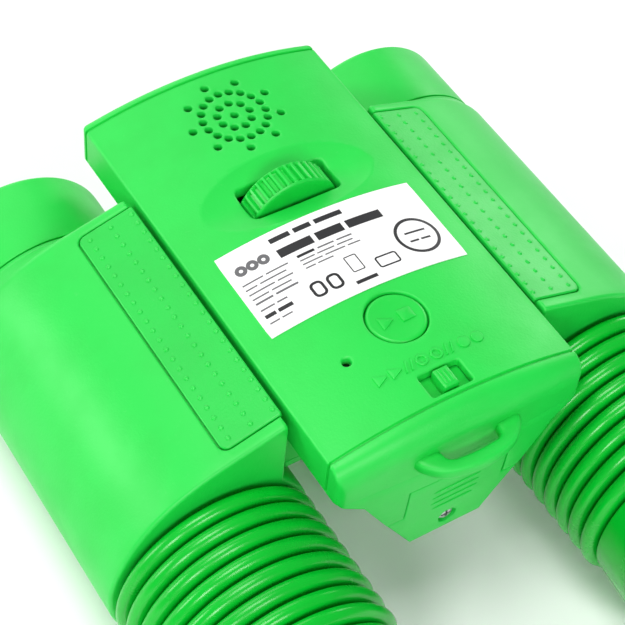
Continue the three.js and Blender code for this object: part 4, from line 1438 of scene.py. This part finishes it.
    def on_roof(self, points: Array) -> Array:
        """Lays drawn (across, y, up) points on the sloped shoulder.

        Args:
            points: (n, 3) points about the panel middle.

        Returns:
            The points on the shoulder.
        """
        fall = self.roof_fall
        x = self.panel_x + 1.4
        z = self.roof_z - (x - self.inner_x) * math.tan(fall)
        across, up = points[:, 0], points[:, 2]
        return np.stack([x + across * math.cos(fall) + up * math.sin(fall), points[:, 1],
                         z - across * math.sin(fall) + up * math.cos(fall)], 1)

    def panel_outline(self, grow: float = 0.0) -> Outline:
        """Panel plan: nearly square inner corners, rounder outer corners."""
        half = (self.panel_half[0] + grow, self.panel_half[1] + grow)
        return rounded_rectangle(half, [1.9 + grow, 1.9 + grow, 0.6, 0.6], (10, 60), 7, (0.0, self.panel_y))

    def cutters(self) -> Shape:
        """Recess of the grip panel with an eased lip, and the slot of the lens carriage.

        Returns:
            Both cutters.
        """
        lip = [(0.0, -0.36), (-0.06, -0.2), (-0.18, -0.07), (-0.36, 0.01), (-0.74, 0.2), (-0.74, 3.0)]
        recess = stack(self.panel_outline(0.3), [(0.0, -1.15), *lip])
        tools = Shape().add(recess).mapped(self.on_roof)
        low, high = self.shop.datum.drawn_box("lens_carriage")
        bar_z = self.axis[1] + 19.6
        half, middle = (6.5, (high[1] - low[1]) / 2 + 2.6), (self.inner_x, (low[1] + high[1]) / 2)
        slot = rounded_rectangle(half, [0.4] * 4, (3, 3), 3, middle)
        return tools.add(stack(slot, [(0.0, bar_z - 1.9), (0.0, bar_z + 1.9)]))

    def panel(self) -> Shape:
        """Grip panel: flat top with a quarter-round edge."""
        levels = [(0.5, -1.05), (0.1, -1.05), (0.0, -0.95)] + fillet(0.0, 0.02, 0.4, 6) + [(0.52, 0.02), (0.75, 0.02)]
        return Shape().add(stack(self.panel_outline(), levels)).mapped(self.on_roof)

    def dots(self) -> Shape:
        """Rows of small raised studs: a dome profile repeated on a grid.

        Returns:
            The studs.
        """
        studs = Shape()
        profile = np.array([(0.6, -0.1), (0.58, 0.06), (0.5, 0.17), (0.34, 0.26), (0.1, 0.3)])
        for across in (-6.1, -0.7, 4.7):
            for row in range(22):
                y = self.panel_y + (row - 10.5) * 2.84
                studs.add(spun_up(profile, 12, (across * 0.98, y)))
        return studs.mapped(self.on_roof)

    def eyecup(self) -> Shape:
        """Soft corrugated cup.

        Eight rounded rings, r = waist + (crest - waist) (1 - u^2)^0.5 with u from -1 to 1 across a
        ring, parted by deep slots, then a plain flared tube with a rolled rim and an inner wall.

        Returns:
            The cup.
        """
        pitch, valley, waist, crest = self.cup_pitch, self.cup_valley, self.cup_waist, self.cup_crest
        profile = [np.array([(17.9, 12.2), (19.5, 12.2), (19.7, 12.0)])]
        u = np.sin(np.linspace(-np.pi / 2, np.pi / 2, 31))
        for i in range(self.cup_rings):
            middle = self.cup_start - (i + 0.5) * pitch
            swelling = np.sqrt(np.clip(1 - u ** 2, 0, 1))
            round_top = np.stack([waist + (crest - waist) * swelling, middle - 1.92 * u], 1)
            near, far = (valley + 0.5, middle + 2.05), (valley + 0.5, middle - 2.05)
            edge = [(valley, middle + 0.5 * pitch), near], [far, (valley, middle - 0.5 * pitch + 0.02)]
            profile += [np.array(edge[0]), round_top, np.array(edge[1])]
        end = self.cup_start - self.cup_rings * pitch
        tube = [(valley + 0.1, end - 0.1, 0.2), (22.3, end - 0.5, 0.7), (23.3, -38.6, 1.6), (23.5, -41.0, 1.1),
                (21.3, -41.0, 1.1), (20.9, -38.8, 2.0), (20.2, end - 0.5, 1.0), (17.9, end + 1.5, 0.5)]
        profile.append(rounded_profile(tube, 7, closed=False))
        return Shape().add(spun(np.concatenate(profile), 184, self.axis), wrap=True)

    def hood(self) -> Shape:
        """Objective hood: smooth outside, rolled lip, stepped inside and a spigot in the shell.

        Returns:
            The hood.
        """
        outside = [(23.55, 88.75, 0.3), (23.85, 88.75, 0.25), (23.85, 108.6, 1.2), (22.3, 108.7, 0.7),
                   (20.9, 108.5, 0.8)]
        inside = [(20.2, 106.6, 0.8), (20.2, 97.4, 0.3), (18.8, 97.0, 0.3), (18.8, 95.2, 0.2), (17.35, 95.0, 0.1),
                  (17.35, 91.0, 0.1), (15.4, 91.0, 0.2), (15.4, 83.4, 0.3)]
        spigot = [(20.25, 83.4, 0.3), (20.25, 88.75, 0.1)]
        corners = outside + inside + spigot
        return Shape().add(spun(rounded_profile(corners, 5), 112, self.axis), wrap=True)

    def disc(self, radius: float, y: float, edge: float, bulge: float) -> Shape:
        """Double convex lens: each face falls from its crown by bulge (r/R)^2.

        Args:
            radius: of the lens.
            y: its middle plane.
            edge: edge thickness.
            bulge: crown height of each face.

        Returns:
            The lens.
        """
        t = np.linspace(0.02, 0.985, 12)
        front = np.stack([radius * t, y - edge / 2 - bulge * (1 - t ** 2)], 1)
        rim = np.array([(radius, y - edge / 2 + 0.1), (radius, y + edge / 2 - 0.1)])
        back = np.stack([radius * t, y + edge / 2 + bulge * (1 - t ** 2)], 1)[::-1]
        return Shape().add(spun(np.concatenate([front, rim, back]), 72, self.axis))

    def washer(self, inner: float, outer: float, y0: float, y1: float) -> Shape:
        """Retaining ring with eased edges."""
        corners = [(inner, y0, 0.25), (outer, y0, 0.25), (outer, y1, 0.25), (inner, y1, 0.4)]
        return Shape().add(spun(rounded_profile(corners, 4), 96, self.axis), wrap=True)

    def build(self) -> None:
        """Makes the pieces of this side."""
        word, make = self.side.word, self.shop.piece
        make(f"barrel_{word}", self.shell().mirrored(self.side), Slot.SHELL, "case_body", [f"barrel_shell_{word}"], 26,
             tool=self.cutters().mirrored(self.side))
        make(f"grip_{word}", self.panel().mirrored(self.side), Slot.SHELL, "case_body", [f"grip_panel_{word}"], 30,
             material=self.shop.panel_material)
        make(f"grip_studs_{word}", self.dots().mirrored(self.side), Slot.SHELL, "case_body", crisp=60,
             material=self.shop.materials[Slot.CONTROL])
        make(f"cup_{word}", self.eyecup().mirrored(self.side), Slot.CUP, "case_body", [f"eyecup_{word}"], 50)
        make(f"hood_{word}", self.hood().mirrored(self.side), Slot.SHELL, "case_body", [f"objective_hood_{word}"], 32)
        make(f"front_lens_{word}", self.disc(17.0, 93.0, 2.0, 1.2).mirrored(self.side), Slot.GLASS, "case_body",
             [f"objective_lens_{word}"], 40)
        make(f"middle_lens_{word}", self.disc(16.0, 57.5, 1.6, 0.9).mirrored(self.side), Slot.GLASS, "carriage_body",
             [f"focus_lens_{word}"], 40)
        make(f"rear_lens_{word}", self.disc(14.0, 9.0, 2.0, 0.8).mirrored(self.side), Slot.GLASS, "case_body",
             [f"ocular_lens_{word}"], 40)
        make(f"front_ring_{word}", self.washer(15.4, 17.0, 94.3, 96.3).mirrored(self.side), Slot.BLACK, "case_body",
             [f"objective_ring_{word}"], 40)
        make(f"rear_ring_{word}", self.washer(12.4, 14.0, 10.4, 12.4).mirrored(self.side), Slot.BLACK, "case_body",
             [f"ocular_ring_{word}"], 40)
        self.shop.bevelled_copy(f"rear_seat_{word}", f"ocular_mount_{word}", Slot.BLACK, "case_body", 0.15)


# ---------------------------------------------------------------------------------------------
# Controls and label
# ---------------------------------------------------------------------------------------------
@dataclass
class Controls:
    """Focus wheel, push button and mode knob.

    Args:
        shop: maker of the pieces.
        wheel_y: Y of the wheel.
        wheel_z: height of its axle.
        wheel_radius: radius over the ribs.
        wheel_half: half width.
        ribs: number of ribs.
        rib_height: depth between the ribs.
        button_y: Y of the button.
        button_radius: radius of the button.
        knob_y: Y of the knob.
    """

    shop: Workshop
    wheel_y: float = 65.4
    wheel_z: float = -4.0
    wheel_radius: float = 11.3
    wheel_half: float = 3.2
    ribs: int = 38
    rib_height: float = 0.95
    button_y: float = 22.7
    button_radius: float = 6.5
    knob_y: float = 4.7

    def wheel(self) -> Shape:
        """Ribbed wheel: r = R - h (1 - rib(a)) band(y), so the grooves stop short of both faces.

        Returns:
            The wheel.
        """
        step = 2 * np.pi / self.ribs
        flank = [0.14, 0.175, 0.21, 0.245, 0.28, 0.32, 0.4]
        part = np.array([-0.5, *(-np.array(flank[::-1])), 0.0, *flank])
        angle = (np.arange(self.ribs)[:, None] * step + part * step).ravel()
        rib = np.tile(smooth_step((0.28 - np.abs(part)) / 0.13), self.ribs)
        half, radius = self.wheel_half, self.wheel_radius
        edge = [(1.9, -half + 0.5), (2.5, -half + 0.5), (4.4, -half + 0.5), (4.8, -half), (9.6, -half), (10.75, -half),
                (10.9, -half + 0.06), (11.2, -half + 0.3), (11.3, -half + 0.42)]
        tread = [(radius, t) for t in np.linspace(-half + 0.5, half - 0.5, 27)]
        rows = np.array(edge + tread + [(r, -t) for r, t in edge[::-1]])
        band = smooth_step((half - 0.45 - np.abs(rows[:, 1])) / 0.3) * (rows[:, 0] > 11.2)
        reach = rows[:, :1] - self.rib_height * (1 - rib)[None] * band[:, None]
        x, z = reach * np.sin(angle), self.wheel_z + reach * np.cos(angle)
        y = np.broadcast_to(self.wheel_y + rows[:, 1:], x.shape)
        return Shape().add(np.stack([x, y, z], 2), wrap=True)

    def button(self) -> Shape:
        """Round button with a dished top and two thin raised marks.

        Returns:
            The button.
        """
        top, radius = 3.95, self.button_radius
        r = np.linspace(0.15, radius - 1.0, 12)
        dish = np.stack([r, top - 0.3 * (1 - (r / (radius - 1.0)) ** 2)], 1)
        rim = np.array([(radius - 0.72, top + 0.02), (radius - 0.4, top - 0.04), (radius - 0.16, top - 0.2),
                        (radius, top - 0.5), (radius, 1.7), (radius + 0.85, 1.6), (radius + 0.9, 0.5), (0.3, 0.4)])
        shape = Shape().add(spun_up(np.concatenate([dish, rim]), 96, (0.0, self.button_y)))
        levels = [(0.0, top - 0.7), (0.0, top - 0.08), (0.06, top + 0.02), (0.15, top + 0.05)]
        play = [(-4.0, -1.8, 0.25), (-0.7, 0.0, 0.25), (-4.0, 1.8, 0.25)]
        stop = [(0.8, -1.55, 0.2), (3.9, -1.55, 0.2), (3.9, 1.55, 0.2), (0.8, 1.55, 0.2)]
        for mark in (play, stop):
            shape.add(prism(rounded_profile(mark, 4) + (0, self.button_y), levels))
        return shape

    def knob(self) -> Shape:
        """Slide knob: a block with eased corners, three fine ridges and its broad foot.

        Returns:
            The knob.
        """
        block = rounded_rectangle((1.85, 2.5), [0.35] * 4, (4, 6), 4, (0.0, self.knob_y))
        levels = [(0.0, 0.6), (0.0, 2.2), (0.0, 4.1)] + fillet(0.05, 4.85, 0.5, 6) + [(0.75, 4.86)]
        shape = Shape().add(stack(block, levels))
        foot = rounded_rectangle((5.2, 3.65), [0.4] * 4, (4, 6), 4, (0.0, self.knob_y))
        shape.add(stack(foot, [(0.1, 0.5), (0.0, 0.6), (0.0, 1.75), (0.12, 1.85), (0.4, 1.86)]))
        t = np.linspace(-1, 1, 17)
        a = np.linspace(0, 2 * np.pi, 10, endpoint=False)
        for x in (-0.9, 0.0, 0.9):
            reach = (0.2 * (1 - t ** 10) + 0.01)[:, None]
            y = np.broadcast_to(self.knob_y + 1.9 * t[:, None], (17, 10))
            shape.add(np.stack([x + reach * np.cos(a), y, 4.88 + reach * 0.9 * np.sin(a)], 2))
        return shape

    def build(self) -> None:
        """Makes the three controls."""
        self.shop.piece("wheel", self.wheel(), Slot.CONTROL, "focus_wheel_body", ["focus_wheel"], 40)
        self.shop.piece("button", self.button(), Slot.CONTROL, "start_stop_button_body", ["start_stop_button"], 35)
        self.shop.piece("knob", self.knob(), Slot.CONTROL, "mode_switch_body", ["mode_switch_knob"], 35)


@dataclass
class Label:
    """Paper label bent over the arch, with plain printed bars and rings.

    Args:
        shop: maker of the pieces.
        half: half sizes of the paper.
        middle_y: Y of its middle.
        thickness: of the paper.
    """

    shop: Workshop
    half: tuple[float, float] = (24.45, 11.9)
    middle_y: float = 43.5
    thickness: float = 0.22

    @staticmethod
    def patch(x0: float, x1: float, y0: float, y1: float, lift: float) -> Array:
        """Sections along X of a thin printed bar, close enough to follow the arch.

        Args:
            x0: left end.
            x1: right end.
            y0: near edge.
            y1: far edge.
            lift: height of its face above the arch.

        Returns:
            (k, 4, 3) sections.
        """
        x = np.linspace(x0, x1, max(2, int(abs(x1 - x0) / 1.2) + 2))[:, None]
        side = np.array([0.0, 1.0, 1.0, 0.0])
        y = y0 + (y1 - y0) * side + 0 * x
        z = lift - INK * np.array([1.0, 1.0, 0.0, 0.0]) + 0 * x
        return np.stack([x + 0 * side, y, z], 2)

    def sheet(self) -> Shape:
        """The paper: a grid over the label, bent on the arch, with a lower face.

        Returns:
            The paper.
        """
        x = np.linspace(-self.half[0], self.half[0], 60)
        y = self.middle_y + np.linspace(-self.half[1], self.half[1], 12)
        rows = []
        for k, level in enumerate(y):
            inset = 0.12 if k in (0, len(y) - 1) else 0.0
            row_x = np.clip(x, -self.half[0] + inset, self.half[0] - inset)
            upper = np.stack([row_x, np.full(60, level), np.full(60, self.thickness)], 1)
            lower = upper[::-1] * np.array([1, 1, 0]) + np.array([0, 0, 0.02])
            rows.append(np.concatenate([upper, lower]))
        return Shape().add(np.stack(rows)).mapped(draped)

    @staticmethod
    def frame_line(centre: tuple[float, float], half: tuple[float, float], line: float, lift: float,
                   corner: float) -> Array:
        """Rings of a thin rounded frame, cut finely enough to follow the arch."""
        outline = rounded_rectangle(half, [corner] * 4, (8, 6), 6, centre)
        return stack(outline, [(0.0, lift - INK), (0.0, lift), (line, lift), (line, lift - INK)])

    @staticmethod
    def ring_line(centre: tuple[float, float], outer: float, inner: float, lift: float, count: int) -> Array:
        """Rings of a printed circle between two radii."""
        profile = np.array([(outer, lift - INK), (outer, lift), (inner, lift), (inner, lift - INK)])
        return spun_up(profile, count, centre)

    def dashes(self, shape: Shape, y: float, tall: float, spans: Sequence[tuple[float, float]], lift: float) -> None:
        """Adds a row of bars of one height."""
        for x0, x1 in spans:
            shape.add(self.patch(x0, x1, y, y + tall, lift))

    def printing(self) -> dict[str, Shape]:
        """Plain print: heading bars, rows of dashes, rings, empty frames and fine rules.

        Returns:
            The print by piece name.
        """
        lift = self.thickness + 0.03
        dark, grey = Shape(), Shape()
        for x in (-21.2, -18.5, -15.8):
            grey.add(self.ring_line((x, 49.7), 1.35, 0.45, lift, 40), wrap=True)
        self.dashes(dark, 52.3, 1.3, [(-12.5, -7.6), (-6.6, -2.4), (-1.4, 5.4)], lift)
        self.dashes(dark, 47.9, 2.3, [(-12.5, -4.2), (-3.2, 3.4), (4.4, 13.2)], lift)
        self.dashes(dark, 46.0, 0.7, [(-9.6, -5.4)], lift)
        self.dashes(grey, 46.1, 0.4, [(-4.6, -0.6), (0.1, 3.9)], lift)
        for row, spans in enumerate(([(-9.6, -6.0), (-5.4, -1.2), (-0.5, 3.4)], [(-9.6, -4.8), (-4.1, 0.8), (1.5, 4.6)],
                                     [(-9.6, -7.2), (-6.6, -2.8)])):
            self.dashes(grey, 44.9 - 1.15 * row, 0.34, spans, lift)
        for row, spans in enumerate(([(-22.9, -18.0), (-17.3, -12.0)], [(-22.9, -20.2), (-19.5, -13.2)],
                                     [(-22.9, -16.8), (-16.1, -12.4)], [(-22.9, -19.0), (-18.3, -13.6)])):
            self.dashes(grey, 45.9 - 1.4 * row, 0.36, spans, lift)
        self.dashes(grey, 40.3, 0.5, [(-22.9, -18.8), (-18.1, -12.8)], lift)
        self.dashes(grey, 38.4, 0.4, [(-22.9, -19.6), (-19.0, -16.6)], lift)
        self.dashes(dark, 36.2, 0.95, [(-22.9, -20.4), (-19.8, -16.4)], lift)
        self.dashes(grey, 34.6, 0.36, [(-22.9, -20.6), (-20.0, -17.6)], lift)
        for x in (-10.1, -6.1):
            dark.add(self.frame_line((x, 36.8), (1.6, 2.1), 0.65, lift, 1.3))
        dark.add(self.frame_line((0.0, 39.0), (1.5, 2.3), 0.26, lift, 0.4))
        dark.add(self.patch(-2.5, 2.7, 33.6, 34.5, lift))
        dark.add(self.frame_line((7.0, 36.7), (2.7, 1.6), 0.4, lift, 0.7))
        dark.add(self.ring_line((17.0, 40.3), 5.2, 4.45, lift, 96), wrap=True)
        self.dashes(dark, 41.2, 0.5, [(14.4, 19.6)], lift)
        self.dashes(dark, 38.8, 0.5, [(14.4, 16.6), (17.2, 19.6)], lift)
        return {"label_print": dark.mapped(draped), "label_fine_print": grey.mapped(draped)}

    def build(self) -> None:
        """Lays the paper and its print."""
        self.shop.piece("label_sheet", self.sheet(), Slot.LABEL, "case_body", ["product_label"], 40)
        inks = {"label_print": self.shop.ink, "label_fine_print": self.shop.grey_ink}
        for name, shape in self.printing().items():
            self.shop.piece(name, shape, Slot.LABEL, "case_body", crisp=40, material=inks[name])


# ---------------------------------------------------------------------------------------------
# Inside parts that keep their CAD meshes
# ---------------------------------------------------------------------------------------------
@dataclass
class Insides:
    """CAD nodes that stay: each gets the finish of its slot.

    Args:
        shop: maker of the pieces.
        slots: slot of each node.
    """

    shop: Workshop
    slots: dict[str, Slot] = field(default_factory=lambda: {
        "board_post_near": Slot.SHELL,
        "lens_carriage": Slot.BLACK, "tact_switch": Slot.BLACK, "switch_lever": Slot.BLACK,
        "focus_spindle": Slot.STEEL, "slide_switch": Slot.STEEL, "microphone": Slot.STEEL, "speaker_frame": Slot.STEEL,
        "contact_plate_near": Slot.STEEL, "contact_plate_far": Slot.STEEL, "circuit_board": Slot.BOARD,
        "speaker_cone": Slot.CONE,
        "battery_cell_1": Slot.CELL, "battery_cell_2": Slot.CELL, "battery_cell_3": Slot.CELL})

    def build(self) -> None:
        """Dresses every inside node."""
        for node, slot in self.slots.items():
            self.shop.dress(frame["nodes"][node], slot)
            LOG.info("%s keeps its CAD mesh, finish %s", node, slot.value)


# ---------------------------------------------------------------------------------------------
# Studio
# ---------------------------------------------------------------------------------------------
@dataclass(frozen=True)
class Lamp:
    """One square soft light aimed at the object.

    Args:
        name: light name.
        place: where it hangs, in metres.
        size: side of the square, in metres.
        power: in watts.
    """

    name: str
    place: tuple[float, float, float]
    size: float
    power: float

    def hang(self) -> None:
        """Adds the light and turns it to a point just above the floor's middle."""
        data = bpy.data.lights.new(self.name, "AREA")
        data.shape, data.size, data.energy = "SQUARE", self.size, self.power
        aim = Vector((0, 0, 0.04)) - Vector(self.place)
        turn = aim.to_track_quat("-Z", "Y").to_matrix().to_4x4()
        placed(self.name, data).matrix_world = Matrix.Translation(Vector(self.place)) @ turn


LAMPS = (
    Lamp("back_wall", (0.0, 1.3, 0.6), 1.3, 9.0),
    Lamp("overhead", (-0.25, 0.1, 1.15), 0.5, 6.8),
    Lamp("front_left", (-0.75, -1.0, 0.7), 0.36, 7.0),
    Lamp("front", (0.0, -1.2, 0.9), 0.45, 6.8),
    Lamp("left_back", (-1.05, 0.62, 0.5), 0.45, 5.4),
    Lamp("right_back", (1.05, 0.5, 0.5), 0.4, 4.0),
)


@dataclass
class Studio:
    """Floor, soft lights and camera.

    Args:
        datum: placement of the drawing in the frame.
        azimuth: of the camera.
        elevation: of the camera.
        roll: of the camera.
        distance: from the camera to its target, in metres.
        slide: shift of the camera in its own plane, in metres.
        lens: focal length in millimetres.
        target_y: Y of the target in the drawing.
    """

    datum: Datum
    azimuth: float = math.radians(-36.26)
    elevation: float = math.radians(50.15)
    roll: float = math.radians(6.11)
    distance: float = 0.39017
    slide: tuple[float, float] = (0.006454, 0.010149)
    lens: float = 105.58
    target_y: float = 42.857

    def camera(self) -> None:
        """Places the camera: target + distance back, slid in its own plane, turned by the roll."""
        az, el = self.azimuth, self.elevation
        back = Vector((math.sin(az) * math.cos(el), -math.cos(az) * math.cos(el), math.sin(el)))
        right = Vector((math.cos(az), math.sin(az), 0.0))
        up = back.cross(right)
        along = right * math.cos(self.roll) + up * math.sin(self.roll)
        above = -right * math.sin(self.roll) + up * math.cos(self.roll)
        target = Vector(self.datum.place(np.array([0.0, self.target_y, 0.0])))
        data = bpy.data.cameras.new("camera")
        data.lens, data.sensor_width = self.lens, 36.0
        data.clip_start, data.clip_end = 0.01, 20.0
        thing = placed("camera", data)
        place = target + back * self.distance - along * self.slide[0] - above * self.slide[1]
        turn = Matrix((along, above, back)).transposed().to_4x4()
        thing.matrix_world = Matrix.Translation(place) @ turn
        bpy.context.scene.camera = thing

    def floor(self) -> None:
        """A wide pale floor."""
        mesh = bpy.data.meshes.new("floor")
        corners = [(x * FLOOR_HALF, y * FLOOR_HALF, 0) for x, y in ((-1, -1), (1, -1), (1, 1), (-1, 1))]
        mesh.from_pydata(corners, [], [(0, 1, 2, 3)])
        thing = placed("floor", mesh)
        graph = Graph("floor_paper")
        cloud = graph.noise(120.0, 2.0)
        tint = graph.blend(cloud, rgba(0.93, 0.93, 0.93), rgba(0.95, 0.95, 0.95))
        paper = graph.finish({"Specular IOR Level": 0.1}, {"Base Color": tint, "Roughness": cloud * 0.1 + 0.8})
        mesh.materials.append(paper)
        thing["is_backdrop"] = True

    def build(self) -> None:
        """Sets the floor, the lights, the surroundings and the camera."""
        self.floor()
        for lamp in LAMPS:
            lamp.hang()
        bpy.context.scene.view_settings.view_transform = "Standard"
        world = bpy.data.worlds.new("studio")
        bpy.context.scene.world = world
        world.use_nodes = True
        back = world.node_tree.nodes["Background"]
        back.inputs["Color"].default_value = (1.0, 1.0, 1.0, 1.0)
        back.inputs["Strength"].default_value = 0.22
        self.camera()


def main() -> None:
    """Builds the pieces in order."""
    logging.basicConfig(level=logging.INFO, format="%(name)s: %(message)s")
    datum = Datum.from_frame()
    LOG.info("datum %s", datum)
    shop = Workshop(datum)
    barrels = [Barrel(shop, side) for side in Side]
    for part in (Cover(shop), Base(shop), *barrels, Controls(shop), Label(shop), Insides(shop), Studio(datum)):
        part.build()
    boxes = [[list(map(float, corner)) for corner in box] for box in (CAD_BOX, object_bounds())]


if __name__ == "__main__":
    main()
